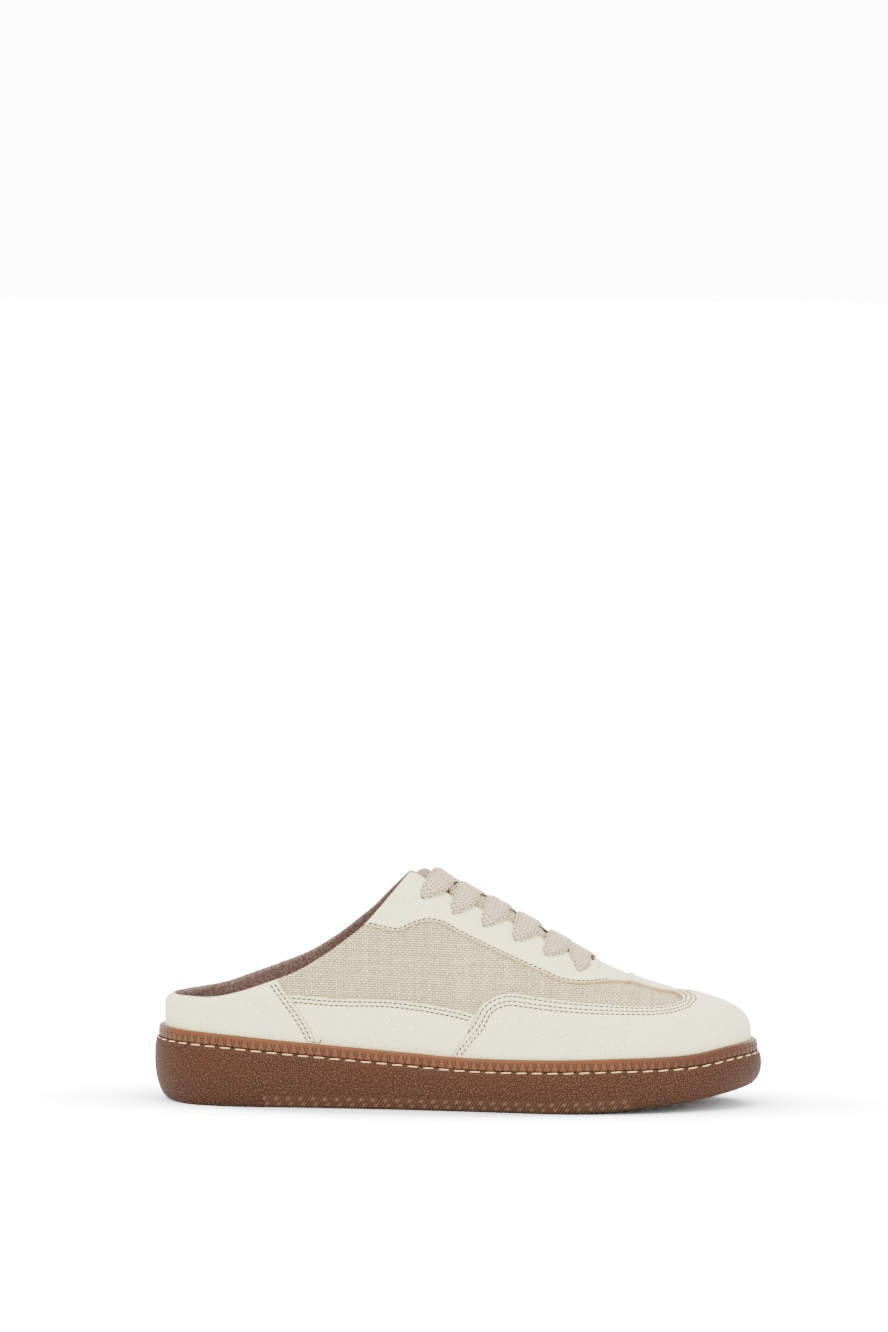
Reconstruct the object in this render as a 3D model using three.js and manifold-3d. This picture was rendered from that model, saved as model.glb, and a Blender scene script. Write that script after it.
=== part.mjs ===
// Sneaker mule, right shoe, in millimetres. +X points to the toe, +Y to the inner side, +Z up.
// The origin is on the floor, below the middle of the outsole.

import * as THREE from 'three';
import { mergeVertices } from 'three/addons/utils/BufferGeometryUtils.js';
import Module from 'manifold-3d';

const wasm = await Module();
wasm.setup();

// Driving dimensions of the last
const outsoleLength = 280;
const ballWidth = 106;
const instepHeight = 111;
const heelCollarHeight = 49;
const collarPeakHeight = 108;

// Driving dimensions of the sole
const heelSoleHeight = 35;
const toeSpring = 9;
const heelSpring = 1.5;
const heelPlatform = 17;
const forefootPlatform = 9.5;
const bottomEdgeInset = 6;
const bandTopInset = 3.6;
const rimWidth = 1.4;
const bandHeight = 5.8;
const bandFaceInset = 2;
const ribPitch = 3.8;
const ribDepth = 0.7;
const smoothRimHeight = 1.7;
const grooveHeight = 1.4;
const grooveDepth = 1.3;
const flexGrooveWidth = 3;
const flexGrooveDepth = 1.6;
const flexGroovePitch = 13;
const flexGrooveMargin = 16;

// Rounding of the sole's cross-section, from the floor up to the rim
const bottomRound = [
  { insetShare: 1, lift: 0 },
  { insetShare: 1 / 2, lift: 1.4 },
  { insetShare: 1 / 5, lift: 4.5 },
];
const widestDrop = 1;
const wallTop = { inset: 0.4, drop: 2 };
const wallLip = 0.6;
const grooveBevel = 0.2;
const ribTop = { inset: 0.1, drop: 0.3 };
const rimRound = { inset: 0.8, drop: 0.5 };

// Driving dimensions of the upper and of what lies in it
const upperWall = 2;
const overlayThickness = 1.2;
const seatGap = 0.3;
const wallTuck = 1;
const widestAboveBand = 1.5;
const insoleThickness = 4;
const insoleHeelCup = 2.5;
const insoleCupWidth = 14;
const insoleRound = 1;
const tongueThickness = 2.5;
const tongueHalfWidth = 24;
const tongueSetBack = 2.5;
const tongueGap = 0.6;
const tongueUnderVamp = 14;
const tongueEndHeight = 39;

// Driving dimensions of the lacing
const laceWidth = 8;
const laceThickness = 1.6;
const laceGap = 0.4;
const laceHoleRadius = 2.2;
const laceHoleShare = 0.48;
const lacePinLength = 12;
const lacePairs = 6;
const firstLacePair = 59;
const lacePairPitch = 14.6;
const throatFront = 68;
const throatHalfWidth = 12.5;

// Arm of a lace crossing: how far it runs to the other side, and where it dives into the throat
const armRun = 0.66;
const armDive = { from: 0.30, to: 0.62 };

// How finely the surfaces are cut
const stations = 30;
const risingAngles = [0, 9, 20, 32, 44, 56, 68, 80, 90];
const holeSides = 6;
const barSteps = 6;
const armSteps = 5;
const throatSteps = 6;
const stepsPerEdgeRow = 2;
const lengthSteps = 2000;
const mergeDistance = 1e-3;
const reach = 400;

// Plan outline of the outsole, from the heel along the outer side to the toe and back along
// the inner side, as shares of the outsole length and the ball width
const outline = [
  { along: -0.500, across: 0.000 },
  { along: -0.482, across: -0.175 },
  { along: -0.430, across: -0.305 },
  { along: -0.340, across: -0.358 },
  { along: -0.210, across: -0.368 },
  { along: -0.070, across: -0.395 },
  { along: 0.070, across: -0.445 },
  { along: 0.195, across: -0.487 },
  { along: 0.300, across: -0.465 },
  { along: 0.390, across: -0.375 },
  { along: 0.460, across: -0.215 },
  { along: 0.500, across: 0.040 },
  { along: 0.478, across: 0.240 },
  { along: 0.420, across: 0.385 },
  { along: 0.330, across: 0.475 },
  { along: 0.235, across: 0.513 },
  { along: 0.125, across: 0.490 },
  { along: 0.000, across: 0.410 },
  { along: -0.140, across: 0.345 },
  { along: -0.270, across: 0.340 },
  { along: -0.375, across: 0.332 },
  { along: -0.450, across: 0.265 },
  { along: -0.486, across: 0.150 },
];
const toeRow = 11;

// Top of the ribbed band: share of the sole's height at the heel
const bandTop = [
  { along: -0.500, rise: 1.000 },
  { along: -0.400, rise: 0.963 },
  { along: -0.245, rise: 0.850 },
  { along: -0.095, rise: 0.757 },
  { along: 0.035, rise: 0.690 },
  { along: 0.170, rise: 0.685 },
  { along: 0.280, rise: 0.714 },
  { along: 0.357, rise: 0.725 },
  { along: 0.410, rise: 0.750 },
  { along: 0.465, rise: 0.820 },
  { along: 0.500, rise: 0.845 },
];

// Underside of the sole: share of the heel spring and of the toe spring
const underside = [
  { along: -0.500, heel: 1.00, toe: 0.00 },
  { along: -0.460, heel: 0.20, toe: 0.00 },
  { along: -0.430, heel: 0.00, toe: 0.00 },
  { along: -0.100, heel: 0.00, toe: 0.00 },
  { along: 0.120, heel: 0.00, toe: 0.00 },
  { along: 0.168, heel: 0.00, toe: 0.00 },
  { along: 0.235, heel: 0.00, toe: 0.09 },
  { along: 0.300, heel: 0.00, toe: 0.23 },
  { along: 0.357, heel: 0.00, toe: 0.40 },
  { along: 0.410, heel: 0.00, toe: 0.58 },
  { along: 0.460, heel: 0.00, toe: 0.80 },
  { along: 0.500, heel: 0.00, toe: 1.00 },
];

// Floor of the cup: share of the drop from the heel platform to the forefoot platform
const platform = [
  { along: -0.500, drop: 0.00 },
  { along: -0.300, drop: 0.02 },
  { along: -0.100, drop: 0.48 },
  { along: 0.050, drop: 0.87 },
  { along: 0.170, drop: 1.00 },
  { along: 0.500, drop: 1.00 },
];

// Ridge of the last: share of the instep height and of the ball width
const ridge = [
  { along: -0.300, rise: 0.930, across: 0.000 },
  { along: -0.200, rise: 0.985, across: 0.010 },
  { along: -0.120, rise: 1.010, across: 0.020 },
  { along: -0.070, rise: 1.000, across: 0.024 },
  { along: 0.000, rise: 0.910, across: 0.035 },
  { along: 0.071, rise: 0.820, across: 0.047 },
  { along: 0.143, rise: 0.714, across: 0.058 },
  { along: 0.214, rise: 0.606, across: 0.068 },
  { along: 0.254, rise: 0.554, across: 0.074 },
  { along: 0.293, rise: 0.514, across: 0.078 },
  { along: 0.332, rise: 0.482, across: 0.078 },
  { along: 0.350, rise: 0.470, across: 0.076 },
];

// Fullness of the cross-sections: exponent of the arch from the side wall to the ridge
const fullness = [
  { along: -0.500, arch: 3.20 },
  { along: -0.350, arch: 2.90 },
  { along: -0.200, arch: 2.10 },
  { along: -0.070, arch: 1.80 },
  { along: 0.050, arch: 1.76 },
  { along: 0.150, arch: 1.82 },
  { along: 0.220, arch: 1.95 },
  { along: 0.280, arch: 2.15 },
  { along: 0.340, arch: 2.45 },
  { along: 0.420, arch: 2.60 },
  { along: 0.500, arch: 2.60 },
];

// Where the ribs of the surface start to lean towards the two ends of the ridge
const leanFront = { from: 0.25, to: 0.35 };
const leanBack = { from: -0.20, to: -0.30 };

// Collar line: share of the rise from the heel's collar to the peak
const collarLine = [
  { along: -0.500, rise: 0.000 },
  { along: -0.455, rise: 0.006 },
  { along: -0.410, rise: 0.025 },
  { along: -0.360, rise: 0.070 },
  { along: -0.302, rise: 0.155 },
  { along: -0.253, rise: 0.240 },
  { along: -0.205, rise: 0.376 },
  { along: -0.158, rise: 0.553 },
  { along: -0.142, rise: 0.622 },
  { along: -0.110, rise: 0.797 },
  { along: -0.073, rise: 1.000 },
];

// Edges of the overlays seen from the side: shares of the outsole length and the instep height
const counterEdge = [
  { along: -0.212, rise: 0.000 },
  { along: -0.220, rise: 0.276 },
  { along: -0.285, rise: 0.534 },
  { along: -0.345, rise: 0.770 },
];
const panelEdge = [
  { along: -0.258, rise: 0.469 },
  { along: -0.188, rise: 0.458 },
  { along: -0.089, rise: 0.455 },
  { along: 0.016, rise: 0.419 },
  { along: 0.060, rise: 0.390 },
];
const guardEdge = [
  { along: -0.010, rise: 0.000 },
  { along: -0.004, rise: 0.160 },
  { along: 0.006, rise: 0.234 },
  { along: 0.021, rise: 0.285 },
  { along: 0.039, rise: 0.365 },
  { along: 0.051, rise: 0.428 },
  { along: 0.063, rise: 0.458 },
  { along: 0.083, rise: 0.482 },
  { along: 0.103, rise: 0.490 },
  { along: 0.130, rise: 0.482 },
  { along: 0.186, rise: 0.464 },
  { along: 0.242, rise: 0.449 },
  { along: 0.313, rise: 0.436 },
  { along: 0.348, rise: 0.434 },
  { along: 0.370, rise: 0.442 },
  { along: 0.375, rise: 0.452 },
  { along: 0.362, rise: 0.462 },
  { along: 0.338, rise: 0.474 },
  { along: 0.314, rise: 0.491 },
  { along: 0.286, rise: 0.511 },
];
const eyestayEdge = [
  { along: -0.200, rise: 0.765 },
  { along: -0.148, rise: 0.758 },
  { along: -0.110, rise: 0.739 },
  { along: -0.085, rise: 0.732 },
  { along: -0.067, rise: 0.753 },
  { along: -0.042, rise: 0.771 },
  { along: -0.020, rise: 0.764 },
  { along: 0.015, rise: 0.720 },
  { along: 0.070, rise: 0.655 },
  { along: 0.113, rise: 0.609 },
  { along: 0.155, rise: 0.564 },
  { along: 0.181, rise: 0.537 },
  { along: 0.211, rise: 0.524 },
  { along: 0.259, rise: 0.523 },
  { along: 0.286, rise: 0.511 },
];

// Corners of a side panel: room kept free of the top edge's own points at its two ends, and
// where its rear edge ends on the way up the counter's edge
const panelCorner = { back: 6, front: 3, start: 2, rearShare: 0.75 };

// Slope of the collar's line above its peak
const peakSlope = 1.6;

// Where the underside has flex grooves: shares of the outsole length
const flexZones = [
  { from: -0.40, to: -0.20 },
  { from: 0.02, to: 0.30 },
];

// Half width of the throat and of the tongue along the ridge, as shares of the named widths
const throatPlan = [
  { along: -0.200, half: 0.60 },
  { along: -0.060, half: 0.78 },
  { along: 0.000, half: 1.00 },
  { along: 0.150, half: 1.00 },
  { along: 0.205, half: 0.92 },
];
const tonguePlan = [
  { along: -0.200, half: 1.00 },
  { along: 0.000, half: 1.00 },
  { along: 0.150, half: 0.92 },
  { along: 0.270, half: 0.72 },
];

// Colours are those of the real materials
const finishes = {
  gum: { color: 0x7a5340, roughness: 0.55, metalness: 0 },
  nubuck: { color: 0xe0ddd0, roughness: 0.9, metalness: 0 },
  linen: { color: 0xd0c6b5, roughness: 0.95, metalness: 0 },
  terry: { color: 0x8d776f, roughness: 1, metalness: 0 },
  lace: { color: 0xd0c8bb, roughness: 0.95, metalness: 0 },
};

// A column of a table, read smoothly at a place along the shoe
function readTable(rows, column, along) {
  const last = rows.length - 1;
  const place = Math.min(Math.max(along, rows[0].along), rows[last].along);
  let row = 0;
  while (row < last - 1 && place > rows[row + 1].along) row += 1;
  const slopeAt = (index) => {
    const before = rows[Math.max(index - 1, 0)];
    const after = rows[Math.min(index + 1, last)];
    return (after[column] - before[column]) / (after.along - before.along);
  };
  const span = rows[row + 1].along - rows[row].along;
  const s = (place - rows[row].along) / span;
  const rest = 1 - s;
  return (1 + 2 * s) * rest * rest * rows[row][column]
    + s * rest * rest * span * slopeAt(row)
    + s * s * (3 - 2 * s) * rows[row + 1][column]
    - s * s * rest * span * slopeAt(row + 1);
}

const outlineCurve = new THREE.CatmullRomCurve3(
  outline.map((row) => new THREE.Vector3(row.along * outsoleLength, row.across * ballWidth, 0)),
  true,
  'centripetal',
);
const toePlace = toeRow / outline.length;

// Place on the closed outline curve where one side of it passes a given X
function placeOnSide(side, x) {
  let low = side < 0 ? 0 : 1;
  let high = toePlace;
  for (let step = 0; step < 50; step += 1) {
    const middle = (low + high) / 2;
    if (outlineCurve.getPoint(middle).x < x) low = middle;
    else high = middle;
  }
  return (low + high) / 2;
}

// Columns around the shoe, closer together at the round ends; the two sides share their X
function placesAround() {
  const heel = outlineCurve.getPoint(0).x;
  const toe = outlineCurve.getPoint(toePlace).x;
  const places = [];
  for (let index = 0; index < 2 * stations; index += 1) {
    const side = index <= stations ? -1 : 1;
    const station = index <= stations ? index : 2 * stations - index;
    const x = heel + (toe - heel) * (1 - Math.cos((Math.PI * station) / stations)) / 2;
    if (station === 0) places.push(0);
    else if (station === stations) places.push(toePlace);
    else places.push(placeOnSide(side, x));
  }
  return places;
}
const places = placesAround();

// Middle of the outline's box, which the shoe is centred on
const widestPoints = places.map((place) => outlineCurve.getPoint(place));
const centre = new THREE.Box3().setFromPoints(widestPoints).getCenter(new THREE.Vector3());

// Heights along the shoe
const alongOf = (x) => x / outsoleLength;
const bandTopAt = (x) => heelSoleHeight * readTable(bandTop, 'rise', alongOf(x));
function undersideAt(x) {
  return heelSpring * readTable(underside, 'heel', alongOf(x))
    + toeSpring * readTable(underside, 'toe', alongOf(x));
}
function platformAt(x) {
  const drop = readTable(platform, 'drop', alongOf(x));
  const spring = toeSpring * readTable(underside, 'toe', alongOf(x));
  return heelPlatform + (forefootPlatform - heelPlatform) * drop + spring;
}

// Point on the outline, moved in from the sole's widest line, with its outward normal
function edgeAt(place, inset) {
  const point = outlineCurve.getPoint(place);
  const tangent = outlineCurve.getTangent(place);
  const normal = new THREE.Vector3(tangent.y, -tangent.x, 0).normalize();
  return { x: point.x - normal.x * inset, y: point.y - normal.y * inset, station: point.x, normal };
}

// A closed ring of points around the shoe, at one inset and at a height that may vary along it
function ring(inset, heightAt) {
  return places.map((place) => {
    const edge = edgeAt(place, inset);
    return new THREE.Vector3(edge.x, edge.y, heightAt(edge.station));
  });
}

// Shares of the way around at which the points of a ring of evenly read places lie
const sharesOf = (points) => points.map((_, index) => index / points.length);

// Faces between two rings that run the same way round, which may have different point counts
function joinRings(faces, lower, upper, lowerShares = sharesOf(lower), upperShares = sharesOf(upper)) {
  let a = 0;
  let b = 0;
  const shareAt = (shares, index) => (index < shares.length ? shares[index] : 1 + shares[0]);
  while (a < lower.length || b < upper.length) {
    const nextA = a < lower.length ? shareAt(lowerShares, a + 1) : Infinity;
    const nextB = b < upper.length ? shareAt(upperShares, b + 1) : Infinity;
    const fromA = lower[a % lower.length];
    const fromB = upper[b % upper.length];
    if (nextA <= nextB) {
      faces.push([fromA, lower[(a + 1) % lower.length], fromB]);
      a += 1;
    } else {
      faces.push([fromA, upper[(b + 1) % upper.length], fromB]);
      b += 1;
    }
  }
}

// Faces across a ring, between the outer and the inner side
function capRing(faces, points, up) {
  for (let index = 0; index < stations; index += 1) {
    const outerBack = points[index];
    const outerFront = points[index + 1];
    const innerBack = points[(2 * stations - index) % (2 * stations)];
    const innerFront = points[2 * stations - index - 1];
    const pair = [[outerBack, outerFront, innerFront], [outerBack, innerFront, innerBack]];
    pair.forEach((face) => faces.push(up ? face : face.slice().reverse()));
  }
}

// Faces to one geometry with shared vertices and no empty faces
function geometryOf(faces) {
  const corners = faces.flat().flatMap((corner) => [corner.x, corner.y, corner.z]);
  const loose = new THREE.BufferGeometry();
  loose.setAttribute('position', new THREE.Float32BufferAttribute(corners, 3));
  return withoutEmptyFaces(mergeVertices(loose, mergeDistance));
}

function withoutEmptyFaces(geometry) {
  const index = geometry.getIndex().array;
  const kept = [];
  for (let face = 0; face < index.length; face += 3) {
    const [a, b, c] = [index[face], index[face + 1], index[face + 2]];
    if (a !== b && b !== c && c !== a) kept.push(a, b, c);
  }
  geometry.setIndex(kept);
  return geometry;
}

function solidOf(geometry) {
  geometry.deleteAttribute('normal');
  geometry.deleteAttribute('uv');
  const merged = withoutEmptyFaces(mergeVertices(geometry, mergeDistance));
  return new wasm.Manifold(new wasm.Mesh({
    numProp: 3,
    vertProperties: new Float32Array(merged.getAttribute('position').array),
    triVerts: new Uint32Array(merged.getIndex().array),
  }));
}

function geometryFromSolid(solid) {
  const mesh = solid.getMesh();
  const geometry = new THREE.BufferGeometry();
  const corners = [];
  for (let vertex = 0; vertex < mesh.vertProperties.length; vertex += mesh.numProp) {
    corners.push(...mesh.vertProperties.slice(vertex, vertex + 3));
  }
  geometry.setAttribute('position', new THREE.Float32BufferAttribute(corners, 3));
  geometry.setIndex(Array.from(mesh.triVerts));
  return geometry;
}

// Prism that runs straight across the shoe, from an outline seen from the side
function sidePrism(points) {
  const shape = new THREE.Shape(points.map((point) => new THREE.Vector2(point.x, point.z)));
  const geometry = new THREE.ExtrudeGeometry(shape, { depth: 2 * reach, bevelEnabled: false });
  geometry.rotateX(Math.PI / 2);
  geometry.translate(0, reach, 0);
  return solidOf(geometry);
}

// Prism that runs straight up, from an outline seen from above
function planPrism(points, bottom, top) {
  const shape = new THREE.Shape(points.map((point) => new THREE.Vector2(point.x, point.y)));
  const geometry = new THREE.ExtrudeGeometry(shape, { depth: top - bottom, bevelEnabled: false });
  geometry.translate(0, 0, bottom);
  return solidOf(geometry);
}

// Ridge of the last at a station; the ribs lean towards its two ends near heel and toe
function ridgeStation(x) {
  const lean = x > 0 ? leanFront : leanBack;
  const from = lean.from * outsoleLength;
  const to = lean.to * outsoleLength;
  const share = Math.min(Math.max((x - from) / (2 * (to - from)), 0), 1);
  const started = x > 0 ? x > from : x < from;
  return started ? from + (to - from) * share * (2 - share) : x;
}

function ridgeAt(station) {
  const x = ridgeStation(station);
  const overlaySeat = overlayThickness + seatGap;
  return new THREE.Vector3(
    x,
    ballWidth * readTable(ridge, 'across', alongOf(x)),
    instepHeight * readTable(ridge, 'rise', alongOf(x)) - overlaySeat,
  );
}

function ridgeSlope(station) {
  const x = ridgeStation(station);
  const step = 0.002 * outsoleLength;
  const rise = readTable(ridge, 'rise', alongOf(x + step)) - readTable(ridge, 'rise', alongOf(x - step));
  return (instepHeight * rise) / (2 * step);
}

// The upper's own outer face starts this far in from the sole's widest line
const upperInset = bandTopInset + rimWidth + seatGap + overlayThickness + seatGap;
const widestAt = (x) => bandTopAt(x) + widestAboveBand;

// Point on the arch of the upper: angle 0 at its widest line, 90 degrees on the ridge
function archPoint(place, angle) {
  const foot = edgeAt(place, upperInset);
  const top = ridgeAt(foot.station);
  const power = 2 / readTable(fullness, 'arch', alongOf(foot.station));
  const out = angle >= 90 ? 0 : Math.cos(THREE.MathUtils.degToRad(angle)) ** power;
  const up = Math.sin(THREE.MathUtils.degToRad(angle)) ** power;
  const x = top.x + (foot.x - top.x) * out;
  const fall = ridgeSlope(foot.station) * (x - top.x) * up * up;
  return new THREE.Vector3(
    x,
    top.y + (foot.y - top.y) * out,
    widestAt(foot.station) * (1 - up) + top.z * up + fall,
  );
}

function archNormal(place, angle) {
  if (angle <= 0) return edgeAt(place, upperInset).normal;
  if (angle >= 90) {
    return new THREE.Vector3(-ridgeSlope(edgeAt(place, 0).station), 0, 1).normalize();
  }
  const placeStep = 1e-4;
  const angleStep = 0.05;
  const around = archPoint(place + placeStep, angle).sub(archPoint(place - placeStep, angle));
  const rising = archPoint(place, angle + angleStep).sub(archPoint(place, angle - angleStep));
  return around.cross(rising).normalize();
}

const archOffset = (place, angle, offset) => (
  archPoint(place, angle).addScaledVector(archNormal(place, angle), offset)
);

// Wall of the upper below its widest line, tucked in a little towards the cup's floor
function wallRing(offset) {
  return ring(upperInset + wallTuck - offset, (x) => platformAt(x) + seatGap);
}

// Shell between two offsets of the upper's surface, open underneath
function upperShell(outerOffset, innerOffset) {
  const rowsAt = (offset) => [
    wallRing(offset),
    ...risingAngles.map((angle) => places.map((place) => archOffset(place, angle, offset))),
  ];
  const outer = rowsAt(outerOffset);
  const inner = rowsAt(innerOffset);
  const faces = [];
  for (let row = 0; row < outer.length - 1; row += 1) {
    const inward = [];
    joinRings(faces, outer[row], outer[row + 1]);
    joinRings(inward, inner[row], inner[row + 1]);
    faces.push(...inward.map((face) => face.reverse()));
  }
  joinRings(faces, inner[0], outer[0]);
  return solidOf(geometryOf(faces));
}

const edgePoints = (rows, shift = 0) => rows.map((row) => (
  { x: row.along * outsoleLength + shift, z: row.rise * instepHeight }
));

// Smooth line through the points of an edge, cut into short straight steps
function smoothEdge(rows, shift = 0) {
  const points = edgePoints(rows, shift).map((point) => new THREE.Vector2(point.x, point.z));
  const curve = new THREE.SplineCurve(points);
  return curve.getPoints(stepsPerEdgeRow * (rows.length - 1)).map((point) => ({ x: point.x, z: point.y }));
}

// Everything above and behind the collar line; the shift moves the line towards the toe
function collarPrism(shift = 0) {
  const rise = collarPeakHeight - heelCollarHeight;
  const line = collarLine.map((row) => ({
    x: row.along * outsoleLength + shift,
    z: heelCollarHeight + rise * row.rise,
  }));
  const peak = line[line.length - 1];
  const back = line[0];
  const above = reach / 4;
  return sidePrism([
    ...line,
    { x: peak.x + above / peakSlope, z: peak.z + above },
    { x: back.x - reach, z: peak.z + above },
    { x: back.x - reach, z: back.z },
  ]);
}

// Strip along the ridge seen from above, with a round front end
function ridgeStrip(rows, halfWidth, front) {
  const back = rows[0].along * outsoleLength;
  const frontHalf = halfWidth * rows[rows.length - 1].half;
  const straightEnd = front - frontHalf;
  const sidePoints = (side) => {
    const points = [];
    for (let step = 0; step <= throatSteps; step += 1) {
      const x = back + ((straightEnd - back) * step) / throatSteps;
      const middle = ballWidth * readTable(ridge, 'across', alongOf(x));
      points.push({ x, y: middle + side * halfWidth * readTable(rows, 'half', alongOf(x)) });
    }
    return points;
  };
  const roundEnd = [];
  const endMiddle = ballWidth * readTable(ridge, 'across', alongOf(straightEnd));
  const endHalf = halfWidth * readTable(rows, 'half', alongOf(straightEnd));
  for (let step = 1; step < throatSteps; step += 1) {
    const angle = -Math.PI / 2 + (Math.PI * step) / throatSteps;
    roundEnd.push({
      x: straightEnd + frontHalf * Math.cos(angle),
      y: endMiddle + endHalf * Math.sin(angle),
    });
  }
  const points = [...sidePoints(-1), ...roundEnd, ...sidePoints(1).reverse()];
  return planPrism(points, 0, reach);
}

// Place and angle on the arch for a station and a share of the half width; negative is outer
function archPlace(station, share) {
  const power = readTable(fullness, 'arch', alongOf(station)) / 2;
  const angle = THREE.MathUtils.radToDeg(Math.acos(Math.abs(share) ** power));
  return { place: placeOnSide(share < 0 ? -1 : 1, station), angle };
}

function pointOnUpper(station, share, offset) {
  const { place, angle } = archPlace(station, share);
  return archOffset(place, angle, offset);
}

const lacePairStation = (pair) => firstLacePair - pair * lacePairPitch;

// Punched lace holes of both sides, as pins along the surface's normal
function laceHolePins() {
  let pins = null;
  for (let pair = 0; pair < lacePairs; pair += 1) {
    [-laceHoleShare, laceHoleShare].forEach((share) => {
      const { place, angle } = archPlace(lacePairStation(pair), share);
      const pin = new THREE.CylinderGeometry(laceHoleRadius, laceHoleRadius, lacePinLength, holeSides);
      const turn = new THREE.Quaternion().setFromUnitVectors(
        new THREE.Vector3(0, 1, 0),
        archNormal(place, angle),
      );
      pin.applyQuaternion(turn);
      const seat = archPoint(place, angle);
      pin.translate(seat.x, seat.y, seat.z);
      const solid = solidOf(pin);
      pins = pins ? pins.add(solid) : solid;
    });
  }
  return pins;
}

// Flat ribbon that follows the surface between two places given as station and share; it may
// dive into the throat on its way, between two shares of its run
function ribbon(from, to, steps, dive = null) {
  const halfWidth = laceWidth / 2;
  const seat = overlayThickness + seatGap + laceGap;
  const sunk = laceThickness + laceGap;
  const diveAt = (s) => (dive ? THREE.MathUtils.smoothstep(s, dive.from, dive.to) : 0);
  const bottomAt = (s) => seat - (seat + sunk) * diveAt(s);
  const run = new THREE.Vector2(to.station - from.station, (to.share - from.share) * ballWidth / 2);
  const side = new THREE.Vector2(-run.y, run.x).normalize();
  const rows = [];
  for (let step = 0; step <= steps; step += 1) {
    const s = step / steps;
    const station = from.station + (to.station - from.station) * s;
    const share = from.share + (to.share - from.share) * s;
    const corner = (across, lift) => pointOnUpper(
      station + side.x * halfWidth * across,
      share + (side.y * halfWidth * across) / (ballWidth / 2),
      bottomAt(s) + lift,
    );
    rows.push([corner(-1, 0), corner(1, 0), corner(1, laceThickness), corner(-1, laceThickness)]);
  }
  const faces = [];
  for (let step = 0; step < steps; step += 1) {
    for (let edge = 0; edge < 4; edge += 1) {
      const next = (edge + 1) % 4;
      faces.push([rows[step][edge], rows[step + 1][edge], rows[step][next]]);
      faces.push([rows[step][next], rows[step + 1][edge], rows[step + 1][next]]);
    }
  }
  const start = rows[0];
  const end = rows[steps];
  faces.push([start[0], start[1], start[2]], [start[0], start[2], start[3]]);
  faces.push([end[2], end[1], end[0]], [end[3], end[2], end[0]]);
  const solid = solidOf(geometryOf(faces));
  return solid.volume() < 0 ? solidOf(geometryOf(faces.map((face) => face.slice().reverse()))) : solid;
}

// Sole: one moulded cup, drawn as rings from the middle of its underside round to its floor
function makeSole() {
  const underAt = (lift) => (x) => undersideAt(x) + lift;
  const belowTop = (drop) => (x) => bandTopAt(x) - drop;
  const grooveTop = bandHeight;
  const grooveBottom = bandHeight + grooveHeight;
  const middle = (x) => (undersideAt(x) + bandTopAt(x)) / 2;
  const wallRings = [
    ...bottomRound.map((row) => ring(bottomEdgeInset * row.insetShare, underAt(row.lift))),
    ring(0, (x) => middle(x) - widestDrop),
    ring(wallTop.inset, belowTop(grooveBottom + wallTop.drop)),
    ring(bandFaceInset - wallLip, belowTop(grooveBottom)),
    ring(bandFaceInset + grooveDepth, belowTop(grooveBottom - grooveBevel)),
    ring(bandFaceInset + grooveDepth, belowTop(grooveTop + grooveBevel)),
  ];
  const rimRings = [
    ring(bandFaceInset + ribTop.inset, belowTop(smoothRimHeight)),
    ring(bandTopInset - rimRound.inset, belowTop(rimRound.drop)),
    ring(bandTopInset, belowTop(0)),
    ring(bandTopInset + rimWidth, belowTop(0)),
    ring(bandTopInset + rimWidth + wallTuck, platformAt),
  ];
  const faces = [];
  capRing(faces, wallRings[0], false);
  for (let row = 0; row < wallRings.length - 1; row += 1) {
    joinRings(faces, wallRings[row], wallRings[row + 1]);
  }
  const ribs = ribRings();
  const shares = outlineShares();
  joinRings(faces, wallRings[wallRings.length - 1], ribs.lower, shares, ribs.shares);
  joinRings(faces, ribs.lower, ribs.upper);
  joinRings(faces, ribs.upper, rimRings[0], ribs.shares, shares);
  for (let row = 0; row < rimRings.length - 1; row += 1) {
    joinRings(faces, rimRings[row], rimRings[row + 1]);
  }
  capRing(faces, rimRings[rimRings.length - 1], true);
  return solidOf(geometryOf(faces)).subtract(flexGrooves());
}

// Share of the outline's length at each column
function outlineShares() {
  const lengths = outlineCurve.getLengths(lengthSteps);
  const total = lengths[lengths.length - 1];
  return places.map((place) => {
    const spot = place * lengthSteps;
    const low = Math.floor(spot);
    const high = Math.min(low + 1, lengthSteps);
    return (lengths[low] + (lengths[high] - lengths[low]) * (spot - low)) / total;
  });
}

// Zigzag ribs of the band: two rings of crests and hollows, the upper one half a rib on
function ribRings() {
  const count = Math.round(outlineCurve.getLength() / ribPitch);
  const lower = [];
  const upper = [];
  const shares = [];
  for (let index = 0; index < 2 * count; index += 1) {
    const share = index / (2 * count);
    const place = outlineCurve.getUtoTmapping(share);
    const crest = index % 2 === 0;
    const low = edgeAt(place, bandFaceInset + (crest ? 0 : ribDepth));
    const high = edgeAt(place, bandFaceInset + ribTop.inset + (crest ? ribDepth : 0));
    const top = bandTopAt(low.station);
    lower.push(new THREE.Vector3(low.x, low.y, top - bandHeight));
    upper.push(new THREE.Vector3(high.x, high.y, top - smoothRimHeight - ribTop.drop));
    shares.push(share);
  }
  return { lower, upper, shares };
}

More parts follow.
